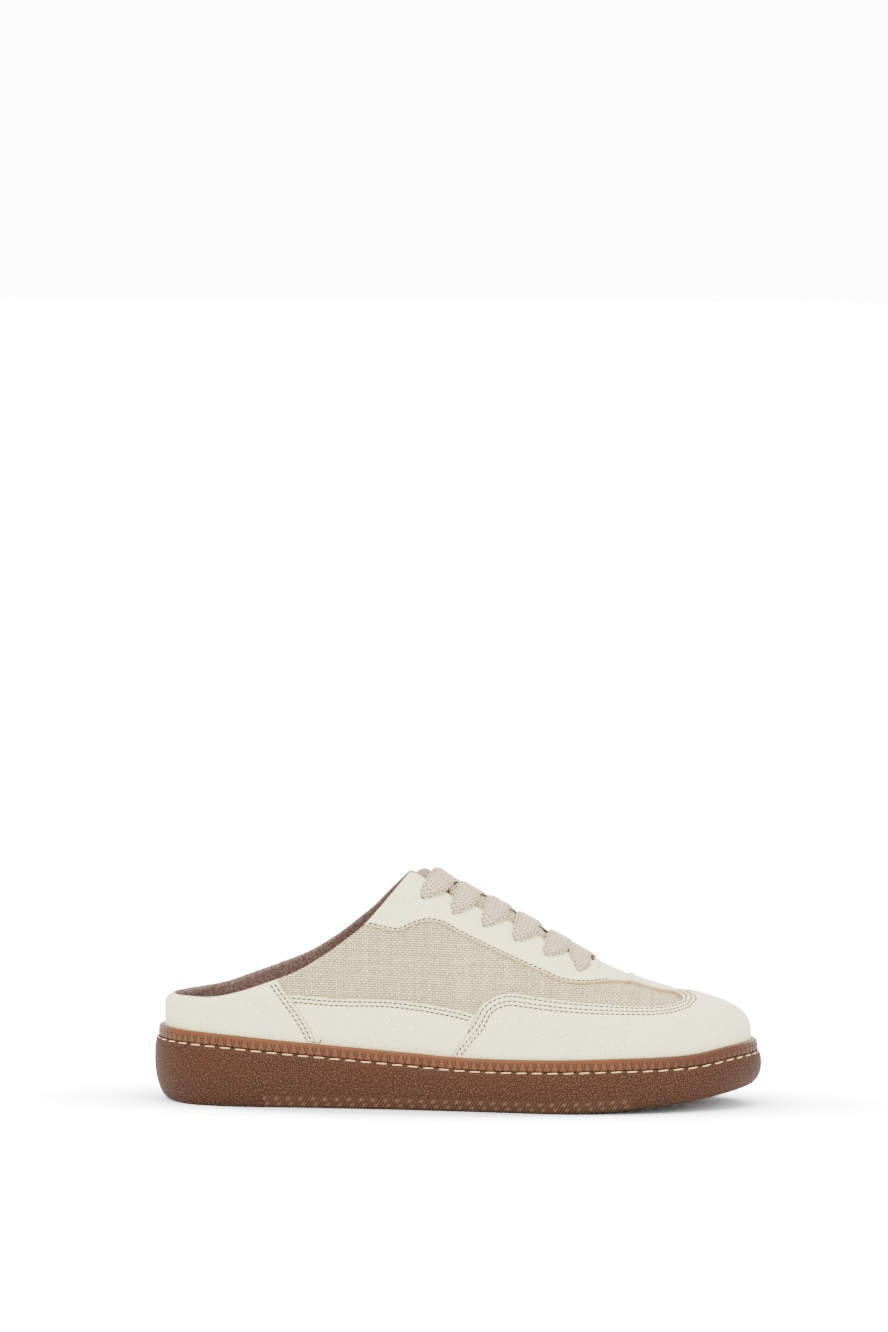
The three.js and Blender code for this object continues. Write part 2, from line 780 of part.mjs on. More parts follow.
// Straight grooves across the underside of forefoot and heel, between the flat treads
function flexGrooves() {
  let cutters = null;
  flexZones.forEach((zone) => {
    const start = zone.from * outsoleLength;
    const count = Math.floor(((zone.to - zone.from) * outsoleLength) / flexGroovePitch);
    for (let index = 0; index <= count; index += 1) {
      const x = start + index * flexGroovePitch;
      const outer = edgeAt(placeOnSide(-1, x), flexGrooveMargin).y;
      const inner = edgeAt(placeOnSide(1, x), flexGrooveMargin).y;
      const box = new THREE.BoxGeometry(flexGrooveWidth, inner - outer, 2 * flexGrooveDepth);
      box.translate(x, (inner + outer) / 2, undersideAt(x));
      const solid = solidOf(box);
      cutters = cutters ? cutters.add(solid) : solid;
    }
  });
  return cutters;
}

// Insole: a pad with a shallow heel cup, lying on the cup's floor inside the upper
function makeInsole() {
  const inset = upperInset + wallTuck + upperWall + seatGap;
  const base = (x) => platformAt(x) + seatGap;
  const cup = (x) => insoleHeelCup * (1 - readTable(platform, 'drop', alongOf(x)));
  const rings = [
    ring(inset, base),
    ring(inset, (x) => base(x) + insoleThickness - insoleRound + cup(x)),
    ring(inset + insoleRound, (x) => base(x) + insoleThickness + cup(x)),
    ring(inset + insoleCupWidth / 2, (x) => base(x) + insoleThickness + cup(x) / 3),
    ring(inset + insoleCupWidth, (x) => base(x) + insoleThickness),
  ];
  const faces = [];
  capRing(faces, rings[0], false);
  for (let row = 0; row < rings.length - 1; row += 1) joinRings(faces, rings[row], rings[row + 1]);
  capRing(faces, rings[rings.length - 1], true);
  return solidOf(geometryOf(faces));
}

const collarCut = collarPrism();
const throatCut = ridgeStrip(throatPlan, throatHalfWidth, throatFront);
const lacePins = laceHolePins();
const overlayShell = upperShell(overlayThickness + seatGap, seatGap).subtract(collarCut);

function makeUpper() {
  return upperShell(0, -upperWall).subtract(collarCut).subtract(throatCut).subtract(lacePins);
}

function makeTongue() {
  const outer = -(upperWall + tongueGap);
  const front = throatFront + tongueUnderVamp;
  return upperShell(outer, outer - tongueThickness)
    .subtract(collarPrism(tongueSetBack))
    .intersect(ridgeStrip(tonguePlan, tongueHalfWidth, front))
    .intersect(sidePrism([
      { x: -reach, z: tongueEndHeight },
      { x: reach, z: tongueEndHeight },
      { x: reach, z: reach },
      { x: -reach, z: reach },
    ]));
}

function makeCounter() {
  const edge = edgePoints(counterEdge);
  return overlayShell.intersect(sidePrism([
    { x: -reach, z: edge[0].z },
    ...edge,
    { x: -reach, z: edge[edge.length - 1].z },
  ]));
}

// Side panels: between counter and toe guard, one solid for each side of the shoe. The lower
// three points of the counter's edge give the panel's rear edge.
function makePanel(side) {
  const back = edgePoints(counterEdge, seatGap).slice(0, 3);
  const top = smoothEdge(panelEdge);
  const front = smoothEdge(guardEdge, -seatGap);
  const meets = front.findIndex((point) => point.z > top[top.length - 1].z);
  const first = back[2].x + panelCorner.back;
  const last = front[meets].x - panelCorner.front;
  const topKept = top.filter((point) => point.x > first && point.x < last);
  const backTop = {
    x: back[1].x + (back[2].x - back[1].x) * panelCorner.rearShare,
    z: topKept[0].z,
  };
  const outlinePoints = [
    ...front.slice(0, meets).reverse().filter((point) => point.z > 0),
    { x: front[0].x, z: 0 },
    { x: back[0].x, z: 0 },
    back[1],
    backTop,
    ...topKept.filter((point) => point.x > backTop.x + panelCorner.start),
    front[meets],
  ].reverse();
  const half = planPrism([
    { x: -reach, y: 0 },
    { x: -reach, y: side * reach },
    { x: reach, y: side * reach },
    { x: reach, y: 0 },
  ], -1, reach);
  return overlayShell.intersect(sidePrism(outlinePoints)).intersect(half);
}

function makeGuard() {
  const edge = smoothEdge(guardEdge);
  const seam = edge[edge.length - 1];
  return overlayShell.intersect(sidePrism([
    { x: reach, z: 0 },
    { x: reach, z: reach },
    { x: seam.x, z: reach },
    ...edge.slice().reverse(),
  ]));
}

function makeEyestay() {
  const edge = smoothEdge(eyestayEdge, -seatGap);
  const seam = edge[edge.length - 1];
  return overlayShell.intersect(sidePrism([
    ...edge,
    { x: seam.x, z: reach },
    { x: edge[0].x, z: reach },
  ])).subtract(throatCut).subtract(lacePins);
}

function makeLaceBar() {
  const station = lacePairStation(0);
  return ribbon({ station, share: -laceHoleShare }, { station, share: laceHoleShare }, barSteps);
}

// Crossing of the lace between two pairs: each arm dives into the throat behind its middle and
// ends before the far edge
function makeLaceCrossing(pair) {
  const near = lacePairStation(pair);
  const far = lacePairStation(pair - 1);
  const dive = { from: armDive.from / armRun, to: armDive.to / armRun };
  const arm = (side) => ribbon(
    { station: near, share: side * laceHoleShare },
    { station: near + (far - near) * armRun, share: side * laceHoleShare * (1 - 2 * armRun) },
    armSteps,
    dive,
  );
  return arm(-1).add(arm(1));
}

const shoe = new THREE.Group();

function addPart(name, solid, finish) {
  const geometry = geometryFromSolid(solid);
  geometry.translate(-centre.x, -centre.y, 0);
  const mesh = new THREE.Mesh(geometry, new THREE.MeshStandardMaterial(finishes[finish]));
  mesh.name = name;
  shoe.add(mesh);
}

addPart('sole', makeSole(), 'gum');
addPart('insole', makeInsole(), 'terry');
addPart('upper', makeUpper(), 'linen');
addPart('tongue', makeTongue(), 'terry');
addPart('heel_counter', makeCounter(), 'nubuck');
addPart('side_panel_lateral', makePanel(-1), 'nubuck');
addPart('side_panel_medial', makePanel(1), 'nubuck');
addPart('toe_guard', makeGuard(), 'nubuck');
addPart('eyestay', makeEyestay(), 'nubuck');
addPart('lace_bar', makeLaceBar(), 'lace');
for (let pair = 1; pair < lacePairs; pair += 1) {
  addPart(`lace_crossing_${pair}`, makeLaceCrossing(pair), 'lace');
}

export default shoe;
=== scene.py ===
"""Sneaker mule, right shoe: the looks of every piece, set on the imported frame.

Shapes are worked out in millimetres from the last's own sizes, +X to the toe, +Y to the inner
side, +Z up, and scaled to metres when a mesh is made.
"""

import logging
import math
from dataclasses import dataclass, field
from enum import Enum

import bpy
import numpy as np
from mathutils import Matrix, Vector

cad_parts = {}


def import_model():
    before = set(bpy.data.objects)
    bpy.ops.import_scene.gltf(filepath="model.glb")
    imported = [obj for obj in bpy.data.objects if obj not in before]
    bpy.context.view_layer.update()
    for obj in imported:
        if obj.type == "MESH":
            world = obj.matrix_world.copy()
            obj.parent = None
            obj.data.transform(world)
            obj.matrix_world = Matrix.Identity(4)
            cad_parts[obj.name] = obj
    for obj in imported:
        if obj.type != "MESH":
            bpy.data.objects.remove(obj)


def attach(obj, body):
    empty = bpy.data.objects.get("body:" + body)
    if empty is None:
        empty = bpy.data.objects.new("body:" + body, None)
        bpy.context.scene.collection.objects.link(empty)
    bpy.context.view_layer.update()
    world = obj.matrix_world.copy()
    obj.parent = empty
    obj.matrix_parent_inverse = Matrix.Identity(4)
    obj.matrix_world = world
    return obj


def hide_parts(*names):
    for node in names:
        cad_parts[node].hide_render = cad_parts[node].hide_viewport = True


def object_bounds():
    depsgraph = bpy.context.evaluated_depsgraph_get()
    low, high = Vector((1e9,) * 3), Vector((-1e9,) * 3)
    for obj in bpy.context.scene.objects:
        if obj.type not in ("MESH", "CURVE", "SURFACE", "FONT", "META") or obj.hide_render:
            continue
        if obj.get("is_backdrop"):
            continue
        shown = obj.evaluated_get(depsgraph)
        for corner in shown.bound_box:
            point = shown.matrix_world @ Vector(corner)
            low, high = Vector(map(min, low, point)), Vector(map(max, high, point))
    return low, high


Array = np.ndarray
LOG = logging.getLogger("sneaker_mule")
MM = 0.001
OUTER, INNER, BOTH = -1, 1, 0
# Steps by which slopes of the upper's face are measured
D_SHARE, D_ANGLE = 2e-4, 2e-3


class Table:
    """A short table of named columns, read smoothly along the shoe."""

    def __init__(self, **columns: tuple[float, ...]) -> None:
        """Keeps the columns as arrays; the first is the place along the shoe.

        Args:
            columns: one tuple for each named column, all of one length.
        """
        self.columns = {name: np.array(values, float) for name, values in columns.items()}
        self.along = self.columns["along"]

    def read(self, name: str, along: Array) -> Array:
        """Cubic Hermite reading of a column, with slopes taken across both neighbours.

        Args:
            name: the column.
            along: places to read, clamped to the table.

        Returns:
            The values there.
        """
        rows, values = self.along, self.columns[name]
        last = len(rows) - 1
        place = np.clip(along, rows[0], rows[-1])
        row = np.clip(np.searchsorted(rows, place, side="right") - 1, 0, last - 1)
        before = np.maximum(np.arange(last + 1) - 1, 0)
        after = np.minimum(np.arange(last + 1) + 1, last)
        slope = (values[after] - values[before]) / (rows[after] - rows[before])
        span = rows[row + 1] - rows[row]
        s = (place - rows[row]) / span
        rest = 1 - s
        return (
            (1 + 2 * s) * rest**2 * values[row]
            + s * rest**2 * span * slope[row]
            + s**2 * (3 - 2 * s) * values[row + 1]
            - s**2 * rest * span * slope[row + 1]
        )


# Tables of the last and sole. Places are shares of the length. Across is a share of the ball
# width; rise a share of the instep, of the heel's sole height or of the collar's climb; heel, toe
# and drop are shares of the springs and of the platform's step; arch is the exponent of the
# superellipse; the collar's lift is in millimetres; half is a share of the named half width.
OUTLINE = Table(
    along=(-0.500, -0.482, -0.430, -0.340, -0.210, -0.070, 0.070, 0.195, 0.300, 0.390, 0.460, 0.500,
           0.478, 0.420, 0.330, 0.235, 0.125, 0.000, -0.140, -0.270, -0.375, -0.450, -0.486),
    across=(0.000, -0.175, -0.305, -0.358, -0.368, -0.395, -0.445, -0.487, -0.465, -0.375, -0.215,
            0.040, 0.240, 0.385, 0.475, 0.513, 0.490, 0.410, 0.345, 0.340, 0.332, 0.265, 0.150),
)
BAND_TOP = Table(
    along=(-0.500, -0.400, -0.245, -0.095, 0.035, 0.170, 0.280, 0.357, 0.410, 0.465, 0.500),
    rise=(1.000, 0.969, 0.867, 0.777, 0.711, 0.715, 0.741, 0.752, 0.772, 0.836, 0.858),
)
UNDERSIDE = Table(
    along=(-0.500, -0.460, -0.430, -0.100, 0.120, 0.168, 0.235, 0.300, 0.357, 0.410, 0.460, 0.500),
    heel=(1.00, 0.20, 0.00, 0.00, 0.00, 0.00, 0.00, 0.00, 0.00, 0.00, 0.00, 0.00),
    toe=(0.00, 0.00, 0.00, 0.00, 0.00, 0.00, 0.09, 0.23, 0.40, 0.58, 0.80, 1.00),
)
PLATFORM = Table(
    along=(-0.500, -0.300, -0.100, 0.050, 0.170, 0.500),
    drop=(0.00, 0.02, 0.48, 0.87, 1.00, 1.00),
)
RIDGE = Table(
    along=(-0.300, -0.200, -0.120, -0.070, 0.000, 0.071, 0.143, 0.214, 0.254, 0.293, 0.332, 0.350),
    rise=(0.930, 0.985, 1.010, 1.000, 0.910, 0.820, 0.714, 0.606, 0.554, 0.514, 0.482, 0.470),
    across=(0.000, 0.010, 0.020, 0.024, 0.035, 0.047, 0.058, 0.068, 0.074, 0.078, 0.078, 0.076),
)
FULLNESS = Table(
    along=(-0.500, -0.350, -0.200, -0.070, 0.050, 0.150, 0.220, 0.280, 0.340, 0.420, 0.500),
    arch=(3.20, 2.90, 2.10, 1.80, 1.76, 1.82, 1.95, 2.15, 2.45, 2.60, 2.60),
)
COLLAR = Table(
    along=(-0.500, -0.455, -0.410, -0.360, -0.302, -0.253, -0.205, -0.158, -0.142, -0.110, -0.073),
    rise=(0.000, 0.006, 0.025, 0.070, 0.155, 0.240, 0.376, 0.553, 0.622, 0.797, 1.000),
)
COLLAR_LIFT = Table(
    along=(-0.440, -0.393, -0.355, -0.310, -0.260, -0.210, -0.163, -0.123, -0.083, -0.050),
    outer=(0.000, -1.200, -1.300, -1.100, -0.600, -0.400, -0.900, -1.200, -0.600, 0.000),
    inner=(0.000, 0.400, 1.700, 2.400, 3.300, 3.700, 3.800, 3.000, 1.000, 0.000),
)
COUNTER_EDGE = Table(along=(-0.345, -0.285, -0.220, -0.212), rise=(0.770, 0.534, 0.276, 0.000))
PANEL_EDGE = Table(along=(-0.300, -0.258, -0.188, -0.089, 0.016, 0.060, 0.100),
                   rise=(0.474, 0.469, 0.458, 0.455, 0.419, 0.390, 0.370))
GUARD_EDGE = Table(
    along=(-0.010, -0.004, 0.006, 0.021, 0.039, 0.051, 0.063, 0.083, 0.103, 0.130, 0.186, 0.242,
           0.313, 0.348, 0.370, 0.375, 0.362, 0.338, 0.314, 0.286),
    rise=(0.000, 0.160, 0.234, 0.285, 0.365, 0.428, 0.458, 0.482, 0.490, 0.482, 0.464, 0.449,
          0.436, 0.434, 0.442, 0.452, 0.463, 0.4765, 0.4945, 0.517),
)
EYESTAY_EDGE = Table(
    along=(-0.200, -0.148, -0.110, -0.085, -0.067, -0.042, -0.020, 0.015, 0.070, 0.113, 0.155, 0.181,
           0.211, 0.259, 0.286),
    rise=(0.765, 0.758, 0.739, 0.732, 0.753, 0.771, 0.764, 0.720, 0.657, 0.611, 0.567, 0.541,
          0.529, 0.529, 0.517),
)
THROAT = Table(along=(-0.200, -0.060, 0.000, 0.150, 0.205), half=(0.60, 0.78, 1.00, 1.00, 0.92))
TONGUE = Table(along=(-0.200, 0.000, 0.150, 0.270), half=(1.00, 1.00, 0.92, 0.72))
# Lace holes: stations in millimetres, share of the half width, and how far ahead of its
# hole each crossing comes out from under the facing
HOLE_STATIONS = (57.4, 42.2, 28.0, 13.8, -0.3, -14.4)
HOLE_SHARE = 0.455
LACE_LEAN = (0.0, 0.5, 2.5, 5.0, 11.0)
# Distance of each stitched row from the cut edge of its piece, in millimetres
STITCH_ROWS = {"counter": (1.9, 3.7), "panel": (1.7, 3.5), "guard": (1.7, 4.0, 5.9), "stay": (1.1,)}
# Soft creases: side, X and Z of both ends, width and height, in millimetres
CREASES = (
    (BOTH, -40.0, 62.0, 30.0, 44.0, 7.0, 0.5),
    (BOTH, -66.0, 52.0, -20.0, 46.0, 5.0, -0.4),
    (OUTER, 10.0, 66.0, 52.0, 52.0, 5.5, -0.45),
    (OUTER, 66.0, 55.0, 92.0, 50.0, 5.0, -0.5),
    (INNER, 8.0, 64.0, 50.0, 50.0, 5.5, -0.5),
    (INNER, 60.0, 54.0, 90.0, 49.0, 5.0, -0.45),
    (BOTH, 84.0, 60.0, 100.0, 54.0, 9.0, 0.35),
    (OUTER, -96.0, 50.0, -84.0, 42.0, 4.0, -0.35),
    (INNER, -100.0, 50.0, -88.0, 42.0, 4.0, -0.3),
)


def smooth_path(points: Array, step: float, closed: bool = False) -> Array:
    """Centripetal cubic through points, sampled at equal steps of its length.

    Args:
        points: the points that the path passes.
        step: distance between samples.
        closed: whether the path returns to its first point.

    Returns:
        The samples, with the end point where the path is open.
    """
    if closed:
        ring = np.vstack([points[-1:], points, points[:2]])
    else:
        ring = np.vstack([2 * points[:1] - points[1:2], points, 2 * points[-1:] - points[-2:-1]])
    gaps = np.sqrt(np.linalg.norm(np.diff(ring, axis=0), axis=1))[:, None]
    before, here, after, beyond = ring[:-3], ring[1:-2], ring[2:-1], ring[3:]
    g0, g1, g2 = gaps[:-2], gaps[1:-1], gaps[2:]
    leave = ((here - before) / g0 - (after - before) / (g0 + g1) + (after - here) / g1) * g1
    arrive = ((after - here) / g1 - (beyond - here) / (g1 + g2) + (beyond - after) / g2) * g1
    s = np.linspace(0, 1, 60, endpoint=False)[None, :, None]
    dense = (
        (2 * s**3 - 3 * s**2 + 1) * here[:, None]
        + (s**3 - 2 * s**2 + s) * leave[:, None]
        + (3 * s**2 - 2 * s**3) * after[:, None]
        + (s**3 - s**2) * arrive[:, None]
    ).reshape(-1, points.shape[1])
    dense = np.vstack([dense, points[:1] if closed else points[-1:]])
    return even_steps(dense, step, closed)


def even_steps(path: Array, step: float, closed: bool = False) -> Array:
    """A path resampled at equal steps of its own length.

    Args:
        path: points along it; a closed path repeats its first point at the end.
        step: wanted distance between samples.
        closed: leaves the repeated point out.

    Returns:
        The samples.
    """
    length = run_along(path)
    count = max(2, int(round(length[-1] / step)))
    at = np.linspace(0, length[-1], count + 1)
    even = np.stack([np.interp(at, length, column) for column in path.T], axis=1)
    return even[:-1] if closed else even


def unit(vectors: Array) -> Array:
    """Vectors divided by their own length."""
    return vectors / np.maximum(np.linalg.norm(vectors, axis=-1, keepdims=True), 1e-12)


def run_along(path: Array) -> Array:
    """Length walked along a path at each of its points, from 0."""
    return np.r_[0, np.cumsum(np.linalg.norm(np.diff(path, axis=0), axis=1))]


def sleeve_faces(rows: int, ring: int) -> Array:
    """Quads of a sleeve whose rings of points follow one another."""
    grid = np.arange(rows * ring).reshape(rows, ring)
    a, b = grid[:-1], grid[1:]
    return np.stack([a, b, np.roll(b, -1, axis=1), np.roll(a, -1, axis=1)], axis=-1).reshape(-1, 4)


def smoothstep(low: float, high: float, x: Array) -> Array:
    """Soft step from 0 at low to 1 at high."""
    s = np.clip((x - low) / (high - low), 0, 1)
    return s * s * (3 - 2 * s)


@dataclass
class Last:
    """Sizes of the last and sole in millimetres, and the surfaces worked out from them."""

    length: float = 280.0
    ball: float = 106.0
    instep: float = 111.0
    heel_collar: float = 49.0
    collar_peak: float = 108.0
    heel_sole: float = 35.0
    toe_spring: float = 9.0
    heel_spring: float = 1.5
    heel_platform: float = 17.0
    forefoot_platform: float = 9.5
    band_top_inset: float = 3.6
    rim_width: float = 1.4
    overlay: float = 1.2
    gap: float = 0.3
    tuck: float = 1.0
    widest_above_band: float = 1.5
    wall: float = 2.0
    throat_front: float = 62.3
    throat_half: float = 12.5
    outline: Array = field(init=False, repr=False)
    normals: Array = field(init=False, repr=False)
    centre: Array = field(init=False, repr=False)

    def __post_init__(self) -> None:
        """Draws the outline: a closed path with its finest wiggles smoothed away."""
        rows = np.stack([OUTLINE.along * self.length, OUTLINE.columns["across"] * self.ball], 1)
        even = smooth_path(rows, 0.35, closed=True)
        wave = np.fft.rfft(even, axis=0)
        wave *= np.exp(-((np.arange(len(wave)) / 22.0) ** 4))[:, None]
        self.outline = np.fft.irfft(wave, n=len(even), axis=0)
        ahead = np.roll(self.outline, -1, axis=0) - np.roll(self.outline, 1, axis=0)
        self.normals = unit(np.stack([ahead[:, 1], -ahead[:, 0]], axis=1))
        self.centre = (self.outline.min(0) + self.outline.max(0)) / 2

    @property
    def upper_inset(self) -> float:
        """How far the upper's own face stands in from the sole's widest line."""
        return self.band_top_inset + self.rim_width + self.overlay + 2 * self.gap

    @property
    def seat(self) -> float:
        """Height of an overlay's face above the upper's own face."""
        return self.overlay + self.gap

    def band_top(self, x: Array) -> Array:
        """Height of the band's top edge at X."""
        return self.heel_sole * BAND_TOP.read("rise", x / self.length)

    def underside(self, x: Array) -> Array:
        """Height of the sole's underside at X."""
        along = x / self.length
        spring = self.toe_spring * UNDERSIDE.read("toe", along)
        return spring + self.heel_spring * UNDERSIDE.read("heel", along)

    def platform(self, x: Array) -> Array:
        """Height of the cup's floor at X."""
        along = x / self.length
        drop = (self.forefoot_platform - self.heel_platform) * PLATFORM.read("drop", along)
        return self.heel_platform + drop + self.toe_spring * UNDERSIDE.read("toe", along)

    def collar(self, x: Array, side: Array | int) -> Array:
        """Height of the collar line at X; ahead of the peak it climbs steeply.

        Args:
            x: X of the points.
            side: OUTER or INNER for each; the inner side stands a little higher.

        Returns:
            Heights.
        """
        along = x / self.length
        rise = COLLAR.read("rise", along) + np.maximum(along - COLLAR.along[-1], 0) * 8.0
        lift = np.where(np.asarray(side) < 0, COLLAR_LIFT.read("outer", along),
                        COLLAR_LIFT.read("inner", along))
        return self.heel_collar + (self.collar_peak - self.heel_collar) * rise + lift

    def around(self, share: Array) -> tuple[Array, Array]:
        """Outline points and outward normals at shares of the way around from the heel."""
        at = (np.asarray(share) % 1.0) * len(self.outline)
        knots = np.arange(len(self.outline) + 1)
        table = np.hstack([self.outline, self.normals])
        table = np.vstack([table, table[:1]])
        seen = np.stack([np.interp(at, knots, column) for column in table.T], axis=-1)
        return seen[..., :2], unit(seen[..., 2:])

    def share_at(self, side: int, x: Array) -> Array:
        """Share of the way around at which one side of the outline passes X."""
        toe = int(np.argmax(self.outline[:, 0]))
        heel = int(np.argmin(self.outline[:, 0]))
        count = len(self.outline)
        heel = heel - count if heel > count // 2 else heel
        if side == OUTER:
            index = np.arange(heel, toe + 1)
        else:
            index = np.arange(heel + count, toe - 1, -1)
        return np.interp(x, self.outline[index % count, 0], index / count)

    def ridge_x(self, x: Array) -> Array:
        """Ridge station of a rib: the ribs lean towards the ridge's two ends."""
        out = np.array(x, float)
        for start, stop in ((0.25, 0.35), (-0.20, -0.30)):
            start, stop = start * self.length, stop * self.length
            s = np.clip((x - start) / (2 * (stop - start)), 0, 1)
            out = np.where(s > 0, start + (stop - start) * s * (2 - s), out)
        return out

    def ridge_slope(self, at: Array) -> Array:
        """Slope of the ridge at shares of the length, from a small step both ways."""
        step = 0.002
        rise = RIDGE.read("rise", at + step) - RIDGE.read("rise", at - step)
        return rise / (2 * step) * self.instep / self.length

    def arch(self, share: Array, angle: Array) -> Array:
        """The upper's own face: a superellipse arch from the wall to the ridge.

        Args:
            share: shares of the way around.
            angle: 0 at the widest line to pi/2 on the ridge; below 0, share of the drop
                to the cup's floor.

        Returns:
            Points of the surface.
        """
        edge, normal = self.around(share)
        station = edge[..., 0]
        foot = edge - normal * self.upper_inset
        top = self.ridge_x(station)
        power = 2 / FULLNESS.read("arch", station / self.length)
        rise = np.clip(angle, 0, np.pi / 2)
        out = np.clip(np.cos(rise), 0, 1) ** power
        up = np.sin(rise) ** power
        at = top / self.length
        slope = self.ridge_slope(at)
        x = top + (foot[..., 0] - top) * out
        y_top = RIDGE.read("across", at) * self.ball
        y = y_top + (foot[..., 1] - y_top) * out
        widest = self.band_top(station) + self.widest_above_band
        z_top = RIDGE.read("rise", at) * self.instep - self.seat
        z = widest + (z_top - widest) * up + slope * (x - top) * up**2
        below = np.clip(-angle, 0, 1)
        x = x - normal[..., 0] * self.tuck * below
        y = y - normal[..., 1] * self.tuck * below
        z = z - (widest - self.platform(station) - self.gap) * below
        return np.stack([x, y, z], axis=-1)

    def arch_normal(self, share: Array, angle: Array) -> Array:
        """Outward normals of the arch, from small steps both ways; the ridge leans with its slope."""
        step = 3e-4
        safe = np.clip(angle, 0.01, np.pi / 2 - 0.01)
        around = self.arch(share + step, safe) - self.arch(share - step, safe)
        rising = self.arch(share, safe + 0.004) - self.arch(share, safe - 0.004)
        normal = unit(np.cross(around, rising))
        edge, flat = self.around(share)
        at = self.ridge_x(edge[..., 0]) / self.length
        slope = self.ridge_slope(at)
        top = unit(np.stack([-slope, np.zeros_like(slope), np.ones_like(slope)], axis=-1))
        level = np.concatenate([flat, np.zeros_like(flat[..., :1])], axis=-1)
        near = np.clip((angle - (np.pi / 2 - 0.06)) / 0.06, 0, 1)[..., None]
        normal = unit(normal * (1 - near) + top * near)
        return np.where((angle <= 0)[..., None], level, normal)

    def locate(self, side: int, x: Array, z: Array, offset: float = 0.0) -> Array:
        """Places on one side of the upper that the side view shows at X and Z.

        Nearest point of a coarse grid first, then Newton steps on share and angle.

        Args:
            side: OUTER or INNER.
            x: wanted X.
            z: wanted Z.
            offset: height above the upper's own face at which the point is seen.

        Returns:
            Rows of share and angle.
        """
        stations = np.linspace(-0.49, 0.49, 260) * self.length
        share, angle = np.meshgrid(self.share_at(side, stations), np.linspace(0.02, 1.55, 90),
                                   indexing="ij")
        seen = self.face(np.stack([share, angle], axis=-1), offset)
        far = (seen[..., 0].ravel()[None] - x[:, None]) ** 2
        far += (seen[..., 2].ravel()[None] - z[:, None]) ** 2
        best = far.argmin(axis=1)
        place = np.stack([share.ravel()[best], angle.ravel()[best]], axis=1)
        for _ in range(4):
            here = self.face(place, offset)[:, [0, 2]]
            by_share = (self.face(place + [D_SHARE, 0], offset)[:, [0, 2]] - here) / D_SHARE
            by_angle = (self.face(place + [0, D_ANGLE], offset)[:, [0, 2]] - here) / D_ANGLE
            miss = np.stack([x, z], axis=1) - here
            det = by_share[:, 0] * by_angle[:, 1] - by_share[:, 1] * by_angle[:, 0]
            det = np.where(np.abs(det) < 1e-3, 1e-3, det)
            d_share = (miss[:, 0] * by_angle[:, 1] - miss[:, 1] * by_angle[:, 0]) / det
            d_angle = (miss[:, 1] * by_share[:, 0] - miss[:, 0] * by_share[:, 1]) / det
            place[:, 0] += np.clip(d_share, -0.01, 0.01)
            place[:, 1] = np.clip(place[:, 1] + np.clip(d_angle, -0.1, 0.1), -0.2, 1.56)
        return place

    def edge_on_side(self, table: Table, side: int, step: float = 0.8) -> Array:
        """An edge seen from the side, laid on the upper.

        Args:
            table: the edge as shares of length and instep.
            side: OUTER or INNER.
            step: distance between samples.

        Returns:
            Rows of share and angle, with a short running mean.
        """
        rows = np.stack([table.along * self.length, table.columns["rise"] * self.instep], axis=1)
        path = smooth_path(rows, step)
        place = self.locate(side, path[:, 0], path[:, 1], self.seat)
        bell = np.hanning(9)[1:-1] / np.hanning(9).sum()
        before = 2 * place[:1] - place[3:0:-1]
        after = 2 * place[-1:] - place[-2:-5:-1]
        longer = np.concatenate([before, place, after])
        return np.stack([np.convolve(column, bell, "valid") for column in longer.T], axis=1)

    def face(self, place: Array, offset: float = 0.0) -> Array:
        """Points at an offset above places given as rows of share and angle."""
        normal = self.arch_normal(place[..., 0], place[..., 1])
        return self.arch(place[..., 0], place[..., 1]) + normal * offset


def nearest_on_path(points: Array, path: Array, up: Array,
                    closed: bool = False) -> tuple[Array, Array]:
    """Signed distance of points from a path that lies on a surface.

    The distance is that to the nearest short piece of the path; it is positive on the side
    that the cross product of the surface's normal and the path's direction shows, so to the
    left of somebody who walks the path on the outside of the shoe.

    Args:
        points: points near the surface.
        path: points of the path.
        up: outward normals of the surface at the path's points.
        closed: whether the path returns to its start.

    Returns:
        Signed distances, and the length along the path at which each nearest place lies.
    """
    if closed:
        path, up = np.vstack([path, path[:1]]), np.vstack([up, up[:1]])
    piece = np.diff(path, axis=0)
    length = np.linalg.norm(piece, axis=1)
    start = np.r_[0, np.cumsum(length)]
    ahead = np.gradient(path, axis=0)
    if closed:
        ahead[0] = ahead[-1] = path[1] - path[-2]
    left = unit(np.cross(up, unit(ahead)))
    best = np.empty(len(points), int)
    coarse = np.arange(0, len(path), 4)
    for rows in np.array_split(np.arange(len(points)), 1 + len(points) * len(coarse) // 3_000_000):
        far = ((points[rows, None] - path[None, coarse]) ** 2).sum(axis=-1)
        best[rows] = coarse[far.argmin(axis=1)]
    near = best[:, None] + np.arange(-6, 6)[None]
    near = near % len(piece) if closed else np.clip(near, 0, len(piece) - 1)
    reach = points[:, None] - path[near]
    share = (reach * piece[near]).sum(axis=-1) / np.maximum(length[near] ** 2, 1e-12)
    share = np.clip(share, 0, 1)
    miss = reach - piece[near] * share[..., None]
    pick = (miss**2).sum(axis=-1).argmin(axis=1)
    rows = np.arange(len(points))
    piece_at, share, miss = near[rows, pick], share[rows, pick], miss[rows, pick]
    side = left[piece_at] * (1 - share[:, None]) + left[piece_at + 1] * share[:, None]
    sign = np.where((miss * side).sum(axis=1) < 0, -1.0, 1.0)
    return sign * np.linalg.norm(miss, axis=1), start[piece_at] + share * length[piece_at]


